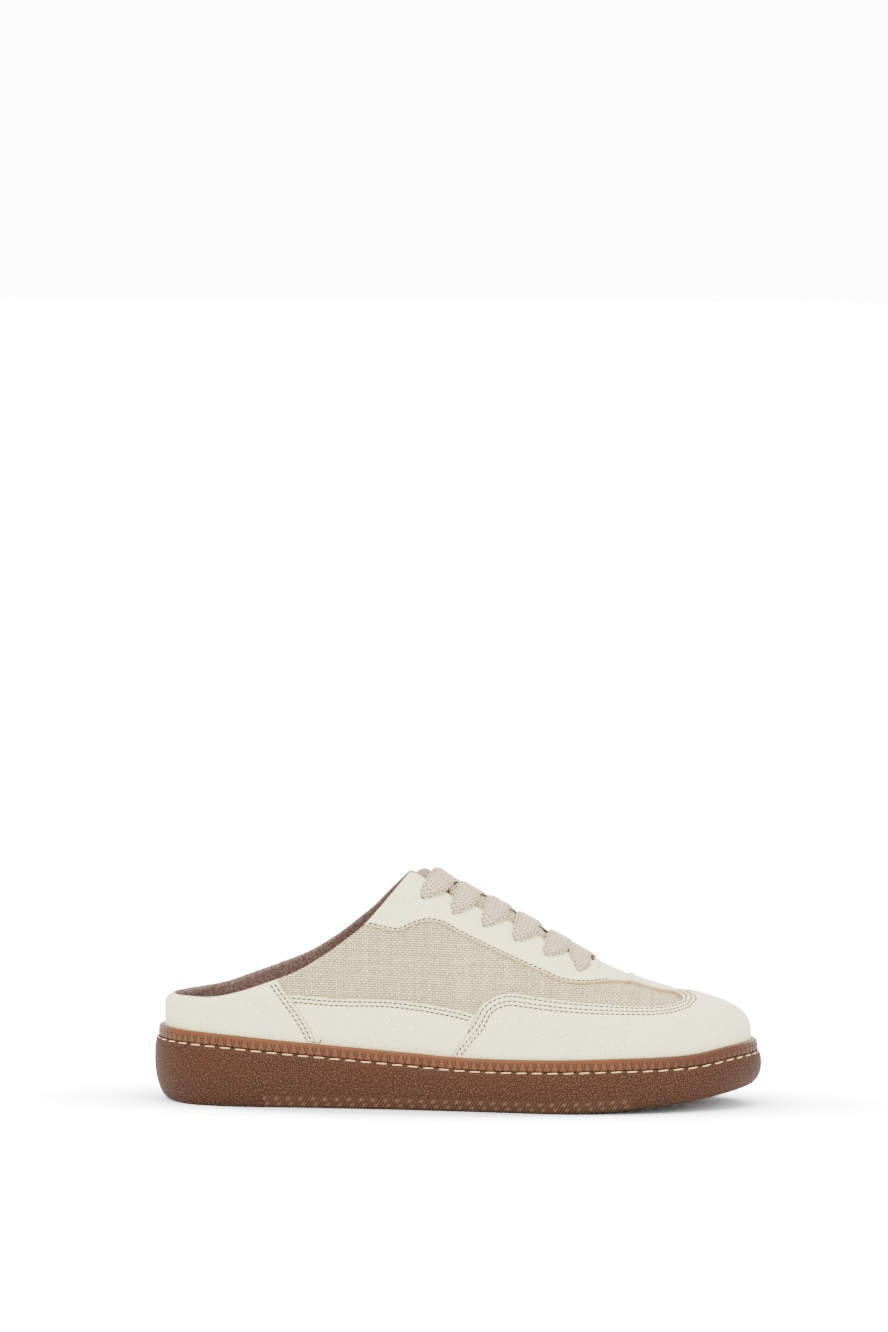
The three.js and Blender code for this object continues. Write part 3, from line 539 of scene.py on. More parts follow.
class Patch:
    """Triangles whose vertices carry named columns of numbers, which cuts read in between."""

    def __init__(self, faces: Array, columns: dict[str, Array]) -> None:
        """Keeps the faces and one array of rows for each name."""
        self.faces = faces
        self.columns = columns

    def __getitem__(self, name: str) -> Array:
        """The rows of one column."""
        return self.columns[name]

    def packed(self, faces: Array) -> "Patch":
        """The patch with only these faces and the vertices that they use."""
        used, index = np.unique(faces, return_inverse=True)
        columns = {name: rows[used] for name, rows in self.columns.items()}
        return Patch(index.reshape(-1, 3), columns)

    def split(self, values: Array) -> tuple["Patch", Array]:
        """Cuts every triangle that the zero line of a field crosses.

        Args:
            values: the field at each vertex.

        Returns:
            The patch with the new vertices, and the field on it.
        """
        inside = values > 0
        count = inside[self.faces].sum(axis=1)
        whole = self.faces[(count == 0) | (count == 3)]
        mixed = self.faces[(count == 1) | (count == 2)]
        if not len(mixed):
            return self, values
        lone = inside[mixed] == (inside[mixed].sum(axis=1) == 1)[:, None]
        turn = (lone.argmax(axis=1)[:, None] + np.arange(3)) % 3
        a, b, c = np.take_along_axis(mixed, turn, axis=1).T
        edges = np.sort(np.concatenate([np.stack([a, b], 1), np.stack([a, c], 1)]), axis=1)
        edges, index = np.unique(edges, axis=0, return_inverse=True)
        index = index.ravel() + len(values)
        ab, ac = index[: len(a)], index[len(a):]
        low, high = values[edges[:, 0]], values[edges[:, 1]]
        share = low / (low - high)

        def between(rows: Array) -> Array:
            """A column with the rows of the new vertices added."""
            cut = rows[edges[:, 0]].T * (1 - share) + rows[edges[:, 1]].T * share
            return np.concatenate([rows, cut.T])

        faces = np.concatenate(
            [whole, np.stack([a, ab, ac], 1), np.stack([ab, b, c], 1), np.stack([ab, c, ac], 1)]
        )
        columns = {name: between(rows) for name, rows in self.columns.items()}
        new_values = np.concatenate([values, np.zeros(len(edges))])
        return Patch(faces, columns), new_values

    def clip(self, values: Array) -> "Patch":
        """The part of the patch on which a field is above zero."""
        patch, values = self.split(values)
        return patch.packed(patch.faces[values[patch.faces].sum(axis=1) > 0])

    def split_at(self, name: str, *levels: float) -> "Patch":
        """The patch cut along lines of equal value of one of its columns."""
        patch = self
        for level in levels:
            patch, _ = patch.split(patch[name] - level)
        return patch


def close_shell(patch: Patch, top: Array, bottom: Array) -> tuple[Patch, Array]:
    """Closed skin between two sheets of the same patch, with crisp walls along its open edges.

    Args:
        patch: the patch, seen from its outer side.
        top: outer point of each vertex.
        bottom: inner point of each vertex.

    Returns:
        The shell as a patch that keeps the columns, and its points.
    """
    faces = patch.faces
    count = len(top)
    edges = np.concatenate([faces[:, [0, 1]], faces[:, [1, 2]], faces[:, [2, 0]]])
    key = edges[:, 0].astype(np.int64) * count + edges[:, 1]
    back = edges[:, 1].astype(np.int64) * count + edges[:, 0]
    rim = edges[~np.isin(key, back)]
    used, index = np.unique(rim, return_inverse=True)
    index = index.reshape(-1, 2)
    high, low = index + 2 * count, index + 2 * count + len(used)
    walls = np.concatenate([
        np.stack([high[:, 1], high[:, 0], low[:, 0]], axis=1),
        np.stack([high[:, 1], low[:, 0], low[:, 1]], axis=1),
    ])
    points = np.concatenate([top, bottom, top[used], bottom[used]])
    all_faces = np.concatenate([faces, faces[:, ::-1] + count, walls])
    columns = {
        name: np.concatenate([rows, rows, rows[used], rows[used]])
        for name, rows in patch.columns.items()
    }
    return Patch(all_faces, columns), points


class Skin:
    """Fine grid over the upper, with the distance fields that the pieces are cut by."""

    STATIONS = 240
    ROWS = 68
    WALL_ROWS = 4
    WALL_DROP = 12.0
    MIDDLE_Y = 2.0

    def __init__(self, last: Last) -> None:
        """Lays the grid, its texture coordinates in millimetres, and all fields.

        Args:
            last: sizes and surfaces of the shoe.
        """
        self.last = last
        self.edges: dict[tuple[str, int], Array] = {}
        t = np.linspace(0, 1, self.STATIONS + 1)
        spread = t + 0.5 * np.sin(2 * np.pi * t) / (2 * np.pi)
        stations = -last.length / 2 * np.cos(np.pi * spread)
        halves = [self.half(side, stations) for side in (OUTER, INNER)]
        columns = {
            name: np.concatenate([halves[0][name], halves[1][name][:, -2::-1]], axis=1)
            for name in halves[0]
        }
        rows, across = columns["angle"].shape
        grid = np.arange(rows * across).reshape(rows, across)
        a, b, c, d = grid[:-1, :-1], grid[1:, :-1], grid[1:, 1:], grid[:-1, 1:]
        odd = (np.add.outer(np.arange(rows - 1), np.arange(across - 1)) % 2).astype(bool)
        first = np.where(odd[..., None], np.stack([a, b, d], -1), np.stack([a, b, c], -1))
        second = np.where(odd[..., None], np.stack([b, c, d], -1), np.stack([a, c, d], -1))
        faces = np.concatenate([first.reshape(-1, 3), second.reshape(-1, 3)])
        flat = {name: value.reshape(rows * across, *value.shape[2:])
                for name, value in columns.items()}
        end = np.concatenate([np.arange(across), (rows - 1) * across + np.arange(across)])
        mirror = np.concatenate([across - 1 - np.arange(across),
                                 (rows - 1) * across + across - 1 - np.arange(across)])
        joined = np.arange(rows * across)
        joined[end] = np.minimum(end, mirror)
        faces = joined[faces]
        keep = (faces[:, 0] != faces[:, 1]) & (faces[:, 1] != faces[:, 2])
        faces = faces[keep & (faces[:, 2] != faces[:, 0])]
        self.patch = Patch(faces, flat)
        self.patch.columns["point"] = self.patch["point"] + self.patch["normal"] * (
            self.creases(self.patch["point"])[:, None]
        )
        self.fields()

    def half(self, side: int, stations: Array) -> dict[str, Array]:
        """Grid of one side, rows at equal shares of each rib's length.

        Args:
            side: OUTER or INNER.
            stations: X of the outline at each rib.

        Returns:
            Columns of shape ribs by rows, foot first.
        """
        last = self.last
        share = last.share_at(side, stations)
        share[0] = 0.0 if side == OUTER else 1.0
        fine = (1 - np.cos(np.linspace(0, np.pi, 260))) / 2 * np.pi / 2
        dense = last.arch(share[:, None] + 0 * fine, 0 * share[:, None] + fine)
        run = np.linalg.norm(np.diff(dense, axis=1), axis=-1).cumsum(axis=1)
        run = np.concatenate([np.zeros((len(share), 1)), run], axis=1)
        wanted = np.linspace(0, 1, self.ROWS + 1)
        angle = np.stack([np.interp(wanted * r[-1], r, fine) for r in run])
        angle[:, -1] = np.pi / 2
        below = np.linspace(-1, 0, self.WALL_ROWS, endpoint=False)
        angle = np.concatenate([np.tile(below, (len(share), 1)), angle], axis=1)
        shares = np.repeat(share[:, None], angle.shape[1], axis=1)
        point = last.arch(shares, angle)
        normal = last.arch_normal(shares, angle)
        foot = np.tile(below * self.WALL_DROP, (len(share), 1))
        rise = np.concatenate([foot, run[:, -1:] * wanted], axis=1)
        edge, _ = last.around(share)
        step = run_along(edge)
        u = np.repeat((step - np.interp(0.0, stations, step))[:, None], angle.shape[1], axis=1)
        sides = np.full(angle.shape, float(side))
        return {"share": shares, "angle": angle, "point": point, "normal": normal,
                "u": u, "v": rise, "side": sides}

    def creases(self, points: Array) -> Array:
        """Height of the soft troughs and ridges at points of the upper.

        Each is a straight line in the side view with a Gaussian cross-section, faded over its
        length; the table gives its ends, its width and its height, in millimetres.

        Args:
            points: points of the upper's own face.

        Returns:
            Heights to add along the normal.
        """
        total = np.zeros(len(points))
        for side, x0, z0, x1, z1, width, height in CREASES:
            along = np.array([x1 - x0, z1 - z0])
            length = np.hypot(*along)
            along = along / length
            reach = points[:, [0, 2]] - [x0, z0]
            s = reach @ along / length
            off = reach @ [-along[1], along[0]]
            fade = smoothstep(-0.35, 0.25, s) * (1 - smoothstep(0.75, 1.35, s))
            mine = (np.sign(points[:, 1] - self.MIDDLE_Y) == side) | (side == BOTH)
            total += height * np.exp(-((off / width) ** 2)) * fade * mine
        return total

    def path(self, place: Array) -> tuple[Array, Array]:
        """Points and normals of the bare surface at places given as share and angle."""
        return (self.last.arch(place[:, 0], place[:, 1]),
                self.last.arch_normal(place[:, 0], place[:, 1]))

    def collar_places(self) -> Array:
        """Places on the collar line: outer tip, round the heel, to the inner tip."""
        last = self.last
        tips = [np.linspace(*last.share_at(side, np.array([-last.length / 2 + 0.01, -16.0])), 420)
                for side in (OUTER, INNER)]
        share = np.concatenate([tips[0][::-1], [0.0], tips[1] - 1.0])
        angle = (1 - np.cos(np.linspace(0.0, np.pi, 700))) * np.pi / 4
        points = last.arch(share[:, None] + 0 * angle, 0 * share[:, None] + angle)
        which = np.where(share >= 0, OUTER, INNER)[:, None]
        above = points[..., 2] - last.collar(points[..., 0], which)
        first = np.maximum((above > 0).argmax(axis=1), 1)
        rows = np.arange(len(share))
        low, high = above[rows, first - 1], above[rows, first]
        part = low / (low - high)
        angles = angle[first - 1] + (angle[first] - angle[first - 1]) * part
        crossed = (above > 0).any(axis=1)
        return np.stack([share, angles], axis=1)[crossed]

    def plan_places(self, table: Table, half: float, front: float) -> Array:
        """Places on the edge of a strip along the ridge, drawn from above with a round front."""
        last = self.last
        front_half = half * table.columns["half"][-1]
        straight = front - front_half
        x = np.linspace(table.along[0] * last.length, straight, 160)
        middle = last.ball * RIDGE.read("across", x / last.length)
        wide = half * table.read("half", x / last.length)
        turn = np.linspace(-np.pi / 2, np.pi / 2, 40)[1:-1]
        end_y = middle[-1] + wide[-1] * np.sin(turn)
        outline = np.concatenate([
            np.stack([x, middle - wide], axis=1),
            np.stack([straight + front_half * np.cos(turn), end_y], axis=1),
            np.stack([x, middle + wide], axis=1)[::-1],
        ])
        outline = even_steps(outline, 0.8)
        return self.locate_above(outline)

    def locate_above(self, plan: Array) -> Array:
        """Places of the upper under points drawn in plan, near the ridge."""
        last = self.last
        middle = last.ball * RIDGE.read("across", plan[:, 0] / last.length)
        side = np.where(plan[:, 1] < middle, OUTER, INNER)
        station = plan[:, 0].copy()
        place = np.zeros_like(plan)
        for _ in range(12):
            for which in (OUTER, INNER):
                rows = side == which
                place[rows, 0] = last.share_at(which, station[rows])
            edge, normal = last.around(place[:, 0])
            foot = edge - normal * last.upper_inset
            top = last.ball * RIDGE.read("across", last.ridge_x(station) / last.length)
            share = np.clip((plan[:, 1] - top) / (foot[:, 1] - top), 0.002, 1)
            power = FULLNESS.read("arch", edge[:, 0] / last.length) / 2
            place[:, 1] = np.arccos(share**power)
            station += 0.8 * (plan[:, 0] - last.arch(place[:, 0], place[:, 1])[:, 0])
            station = np.clip(station, -last.length / 2 + 0.5, last.length / 2 - 0.5)
        return place

    def lace_holes(self) -> Array:
        """Middles of the punched lace holes on both sides."""
        station = np.array(HOLE_STATIONS)
        power = FULLNESS.read("arch", station / self.last.length) / 2
        angle = np.arccos(HOLE_SHARE**power)
        return np.concatenate([self.last.arch(self.last.share_at(side, station), angle)
                               for side in (OUTER, INNER)])

    def settle(self, points: Array, place: Array) -> Array:
        """Places on the upper nearest to points, from first guesses, by least squares steps.

        Args:
            points: points close to the surface.
            place: rows of share and angle close by.

        Returns:
            Rows of share and angle.
        """
        last, place = self.last, place.copy()
        for _ in range(5):
            here = last.arch(place[:, 0], place[:, 1])
            by_share = (last.arch(place[:, 0] + D_SHARE, place[:, 1]) - here) / D_SHARE
            by_angle = (last.arch(place[:, 0], place[:, 1] + D_ANGLE) - here) / D_ANGLE
            miss = points - here
            a, b, c = (by_share**2).sum(1), (by_share * by_angle).sum(1), (by_angle**2).sum(1)
            f, g = (by_share * miss).sum(1), (by_angle * miss).sum(1)
            det = np.maximum(a * c - b * b, 1e-3)
            place[:, 0] += np.clip((f * c - g * b) / det, -0.01, 0.01)
            place[:, 1] += np.clip((g * a - f * b) / det, -0.12, 0.12)
            place[:, 1] = np.clip(place[:, 1], -0.3, np.pi / 2)
        return place

    def rail(self, place: Array, inward: float | Array, step: float = 0.5) -> tuple:
        """Line beside an edge of the upper.

        Args:
            place: places along the edge, as share and angle.
            inward: distance to the walker's left, on the outside of the shoe.
            step: distance between the line's samples.

        Returns:
            Points of the bare surface, their normals and their directions.
        """
        path, up = self.path(place)
        left = unit(np.cross(up, unit(np.gradient(path, axis=0))))
        moved = self.settle(path + left * np.reshape(inward, (-1, 1)), place)
        path, up = self.path(moved)
        joined = np.hstack([path, up])
        length = run_along(path)
        at = np.linspace(0, length[-1], max(3, int(length[-1] / step)))
        even = np.stack([np.interp(at, length, column) for column in joined.T], axis=1)
        path, up = even[:, :3], unit(even[:, 3:])
        path = path + up * self.creases(path)[:, None]
        return path, up, unit(np.gradient(path, axis=0))

    def fields(self) -> None:
        """Adds a signed distance in millimetres for each edge; positive is where a piece is."""
        patch, last = self.patch, self.last
        point = patch["point"]
        side = patch["side"]
        collar = self.edges["collar", 0] = self.collar_places()
        path, up = self.path(collar)
        away, _ = nearest_on_path(point, path, up)
        above = point[:, 2] > last.collar(point[:, 0], side)
        sure = np.where(above, -1.0, 1.0) * np.abs(away)
        patch.columns["collar"] = np.where(np.abs(away) < 5.0, away, sure)
        throat = self.plan_places(THROAT, last.throat_half, last.throat_front)
        self.edges["throat", 0] = throat
        path, up = self.path(throat)
        away, _ = nearest_on_path(point, path, up)
        patch.columns["throat"] = -away
        for name, table, sign in (
            ("counter", COUNTER_EDGE, 1), ("panel", PANEL_EDGE, 1),
            ("guard", GUARD_EDGE, 1), ("stay", EYESTAY_EDGE, -1),
        ):
            value = np.zeros(len(point))
            for which in (OUTER, INNER):
                place = last.edge_on_side(table, which)
                self.edges[name, which] = place
                path, up = self.path(place)
                rows = np.sign(side) == which
                away, _ = nearest_on_path(point[rows], path, up)
                value[rows] = away * which * sign
            patch.columns[name] = value


class Slot(Enum):
    """Names of the material slots."""

    GUM = "gum_rubber"
    NUBUCK = "nubuck"
    LINEN = "linen"
    TERRY = "terry"
    LACE = "lace_cotton"


def srgb(red: float, green: float, blue: float) -> tuple[float, float, float, float]:
    """Linear colour of sRGB numbers from 0 to 255."""
    channels = np.array([red, green, blue]) / 255
    linear = np.where(channels <= 0.04045, channels / 12.92, ((channels + 0.055) / 1.055) ** 2.4)
    return (*[float(c) for c in linear], 1.0)


class Nodes:
    """Short hand for wiring a node tree."""

    def __init__(self, tree: bpy.types.NodeTree) -> None:
        """Takes the tree to wire."""
        self.tree = tree

    def add(self, kind: str, **settings: object) -> bpy.types.Node:
        """A node; settings that the node has as properties are set, others are its inputs.

        Args:
            kind: Blender's name of the node type, without the ShaderNode prefix.
            settings: properties, or inputs with blanks written as underscores.

        Returns:
            The node.
        """
        node = self.tree.nodes.new("ShaderNode" + kind)
        for name, value in settings.items():
            if hasattr(node, name):
                setattr(node, name, value)
                continue
            self.feed(node.inputs[name.replace("_", " ")], value)
        return node

    def feed(self, socket: bpy.types.NodeSocket, value: object) -> None:
        """Wires an output to an input, or sets the input where the value is a plain one."""
        if isinstance(value, bpy.types.NodeSocket):
            self.tree.links.new(value, socket)
        else:
            socket.default_value = value

    def math(self, operation: str, a: object, b: object = 0.0, clamp: bool = False) -> object:
        """Result of one sum of two values or sockets."""
        node = self.add("Math", operation=operation, use_clamp=clamp)
        for socket, value in zip(node.inputs, (a, b, b)):
            self.feed(socket, value)
        return node.outputs[0]

    def mix(self, share: object, a: object, b: object) -> object:
        """Colour between two colours or sockets."""
        node = self.add("Mix", data_type="RGBA")
        for index, value in ((0, share), (6, a), (7, b)):
            self.feed(node.inputs[index], value)
        return node.outputs[2]

    def noise(self, scale: object, detail: float, **settings: float) -> object:
        """Noise over the object's own coordinates."""
        place = self.add("TexCoord").outputs["Object"]
        return self.add("TexNoise", Vector=place, Scale=scale, Detail=detail, **settings).outputs[0]

    def mark(self, name: str) -> object:
        """A named number that the vertices carry."""
        return self.add("Attribute", attribute_name=name).outputs["Fac"]

    def ramp(self, value: object, *stops: tuple[float, float]) -> object:
        """Value read on a line of (place, height) stops."""
        node = self.add("ValToRGB")
        self.tree.links.new(value, node.inputs[0])
        bar = node.color_ramp.elements
        while len(bar) < len(stops):
            bar.new(0.5)
        for element, (place, height) in zip(bar, stops):
            element.position = place
            element.color = (height, height, height, 1)
        return node.outputs[0]

    def link(self, output: object, socket: object) -> None:
        """Wires an output to an input."""
        self.tree.links.new(output, socket)


def node_group(name: str, inputs: dict[str, float], outputs: dict[str, str]) -> tuple:
    """A new shader group with float inputs and typed outputs.

    Args:
        name: name of the group.
        inputs: default of each input.
        outputs: socket type of each output, without the NodeSocket prefix.

    Returns:
        The group, its wiring help, its input node and its output node.
    """
    group = bpy.data.node_groups.new(name, "ShaderNodeTree")
    for key, value in inputs.items():
        socket = group.interface.new_socket(key, in_out="INPUT", socket_type="NodeSocketFloat")
        socket.default_value = value
    for key, kind in outputs.items():
        group.interface.new_socket(key, in_out="OUTPUT", socket_type="NodeSocket" + kind)
    entry = group.nodes.new("NodeGroupInput")
    leave = group.nodes.new("NodeGroupOutput")
    return group, Nodes(group), entry, leave


def speckle_group() -> bpy.types.NodeTree:
    """Fine specks and a soft cloud, from object coordinates."""
    group, n, entry, leave = node_group(
        "speckle", {"Speck Scale": 900.0, "Speck Share": 0.1, "Cloud Scale": 60.0},
        {"Speck": "Float", "Cloud": "Float"},
    )
    place = n.add("TexCoord").outputs["Object"]
    dots = n.add("TexVoronoi", Vector=place, Scale=entry.outputs["Speck Scale"])
    radius = n.math("MULTIPLY", n.add("TexWhiteNoise", Vector=dots.outputs["Position"]).outputs[0],
                    entry.outputs["Speck Share"])
    near = n.math("LESS_THAN", dots.outputs["Distance"], radius)
    n.link(near, leave.inputs["Speck"])
    n.link(n.noise(entry.outputs["Cloud Scale"], 4.0), leave.inputs["Cloud"])
    return group


def weave_group() -> bpy.types.NodeTree:
    """Basket weave from a UV map in millimetres: thread height, gap mask and thread tone."""
    group, n, entry, leave = node_group(
        "weave", {"Pitch U": 1.15, "Pitch V": 1.1},
        {"Height": "Float", "Gap": "Float", "Tone": "Float"},
    )
    uv = n.add("UVMap", uv_map="cloth").outputs[0]
    wobble = n.add("TexNoise", Vector=uv, Scale=0.35, Detail=2.0)
    shift = n.add("VectorMath", operation="MULTIPLY_ADD")
    n.link(wobble.outputs["Color"], shift.inputs[0])
    shift.inputs[1].default_value = (0.9, 0.9, 0.0)
    n.link(uv, shift.inputs[2])
    split = n.add("SeparateXYZ", Vector=shift.outputs[0])
    u = n.math("DIVIDE", split.outputs[0], entry.outputs["Pitch U"])
    v = n.math("DIVIDE", split.outputs[1], entry.outputs["Pitch V"])
    wave_u = n.math("SINE", n.math("MULTIPLY", u, math.pi))
    wave_v = n.math("SINE", n.math("MULTIPLY", v, math.pi))
    over = n.math("MULTIPLY", wave_u, wave_v)
    height = n.math("MULTIPLY", n.math("POWER", n.math("ABSOLUTE", wave_u), 0.45),
                    n.math("POWER", n.math("ABSOLUTE", wave_v), 0.9))
    warp_up = n.math("GREATER_THAN", over, 0.0)
    cell_u, cell_v = n.math("FLOOR", u), n.math("FLOOR", v)
    cell = n.add("CombineXYZ", X=cell_u, Y=cell_v, Z=0.0)
    tone = n.add("TexWhiteNoise", Vector=cell.outputs[0]).outputs[0]
    row = n.add("TexWhiteNoise", noise_dimensions="1D", W=cell_v).outputs[0]
    column = n.add("TexWhiteNoise", noise_dimensions="1D", W=n.math("ADD", cell_u, 71.0)).outputs[0]
    thread = n.mix(warp_up, row, column)
    tone = n.math("ADD", n.math("MULTIPLY", tone, 0.45), n.math("MULTIPLY", thread, 0.55))
    n.link(n.math("MULTIPLY", height, n.math("ADD", n.math("MULTIPLY", warp_up, 0.52), 0.48)),
           leave.inputs["Height"])
    n.link(n.math("SUBTRACT", 1.0, height, clamp=True), leave.inputs["Gap"])
    n.link(tone, leave.inputs["Tone"])
    return group


def wall_group() -> bpy.types.NodeTree:
    """Gum wall: raised pebbles, and slanted fine ribs with two rows of dots near the floor.

    The UV map holds length around and height above the underside, in millimetres.
    """
    group, n, entry, leave = node_group(
        "wall", {"Pebble Scale": 0.92}, {"Height": "Float", "Light": "Float", "Warm": "Float"},
    )
    place = n.add("TexCoord").outputs["Object"]
    uv = n.add("UVMap", uv_map="cloth").outputs[0]
    split = n.add("SeparateXYZ", Vector=uv)
    u, v = split.outputs[0], split.outputs[1]
    along = n.add("SeparateXYZ", Vector=place).outputs[0]
    zone = n.math("MULTIPLY", n.ramp(n.math("DIVIDE", v, 10.0), (0.50, 1.0), (0.66, 0.0)),
                  n.math("LESS_THAN", n.math("ABSOLUTE", along), 0.0855))
    cells = n.add("TexVoronoi", voronoi_dimensions="2D", Vector=uv, Randomness=0.85,
                  Scale=entry.outputs["Pebble Scale"])
    uneven = n.math("MULTIPLY", n.noise(350.0, 2.0), 0.12)
    dome = n.ramp(n.math("ADD", cells.outputs["Distance"], uneven), (0.12, 1.0), (0.31, 0.0))
    slant = n.math("ADD", u, n.math("MULTIPLY", v, -0.65))
    rib = n.math("MULTIPLY_ADD", n.math("SINE", n.math("MULTIPLY", slant, 2 * math.pi / 1.5)), 0.5)
    row = n.math("GREATER_THAN", v, 3.4)
    line = n.math("SUBTRACT", v, n.math("MULTIPLY", row, 2.5))
    start = n.math("ADD", slant, n.math("MULTIPLY", row, 2.8))
    step = n.math("SUBTRACT", n.math("FRACT", n.math("DIVIDE", start, 5.6)), 0.5)
    dot = n.math("MULTIPLY", n.math("LESS_THAN", n.math("ABSOLUTE", step), 0.15),
                 n.math("LESS_THAN", n.math("ABSOLUTE", n.math("SUBTRACT", line, 2.1)), 0.75))
    tread = n.math("ADD", n.math("MULTIPLY", rib, 1.5), n.math("MULTIPLY", dot, 1.2))
    n.link(n.mix(zone, dome, tread), leave.inputs["Height"])
    # Painted highlight: the raised pebble tops, ribs and dots are coloured lighter than the rubber
    # between them.
    light = n.mix(zone, n.math("MULTIPLY", dome, 0.85),
                  n.math("ADD", n.math("MULTIPLY", dot, 0.32), n.math("MULTIPLY", rib, 0.26)))
    n.link(light, leave.inputs["Light"])
    warm = n.math("MULTIPLY", n.ramp(n.noise(40.0, 3.0), (0.4, 0.0), (0.7, 0.5)),
                  n.ramp(n.math("DIVIDE", v, 30.0), (0.35, 0.0), (0.8, 1.0)))
    n.link(warm, leave.inputs["Warm"])
    return group


@dataclass(frozen=True)
class Finish:
    """One material: its colours, gloss and the pattern that it carries."""

    name: str
    slot: Slot
    colour: tuple[float, float, float]
    second: tuple[float, float, float]
    roughness: float
    pattern: str
    sheen: float = 0.0
    bump: float = 0.1
    gloss: float = 0.3

    def main(self, share: float = 1.0) -> tuple:
        """Linear main colour, at a share of its sRGB numbers."""
        return srgb(*[channel * share for channel in self.colour])

    def dark(self) -> tuple:
        """Linear second colour."""
        return srgb(*self.second)


FINISHES = {
    "nubuck": Finish("nubuck", Slot.NUBUCK, (226, 222, 174), (120, 92, 62), 0.88, "speckle",
                     sheen=0.08, bump=0.10, gloss=0.2),
    # The linen's second colour is painted shade for the weave's gaps.
    "linen": Finish("linen", Slot.LINEN, (228, 216, 174), (92, 72, 42), 0.92, "weave",
                    bump=0.45, gloss=0.1),
    "terry": Finish("terry", Slot.TERRY, (126, 102, 92), (72, 54, 46), 0.98, "pile",
                    sheen=0.2, bump=0.7, gloss=0.1),
    # The gum wall's second colour is painted highlight for its raised tops.
    "gum_wall": Finish("gum_wall", Slot.GUM, (51, 29, 17), (118, 91, 69), 0.6, "pebble",
                       bump=0.5, gloss=0.09),
    # The band's second colour is painted shade, for the grooves and for darker random patches.
    "gum_band": Finish("gum_band", Slot.GUM, (66, 35, 17), (40, 19, 8), 0.42, "ribs",
                       bump=0.03, gloss=0.16),
    # The lace's second colour is painted shade between its yarns.
    "lace": Finish("lace", Slot.LACE, (200, 181, 149), (84, 64, 44), 0.93, "braid",
                   sheen=0.05, bump=0.6, gloss=0.1),
    "thread": Finish("thread", Slot.NUBUCK, (66, 50, 32), (46, 34, 22), 0.8, "plain",
                     bump=0.05, gloss=0.15),
    "pale_thread": Finish("pale_thread", Slot.GUM, (212, 176, 124), (176, 146, 98), 0.7, "plain",
                          bump=0.05, gloss=0.2),
    "cut_edge": Finish("cut_edge", Slot.NUBUCK, (168, 146, 106), (120, 92, 62), 0.9, "speckle",
                       bump=0.1, gloss=0.15),
    "tongue": Finish("tongue", Slot.TERRY, (150, 126, 116), (104, 84, 74), 0.98, "pile",
                     sheen=0.15, bump=0.5, gloss=0.1),
    "raw_edge": Finish("raw_edge", Slot.NUBUCK, (228, 206, 172), (190, 156, 118), 0.9, "speckle",
                       bump=0.1, gloss=0.15),
}


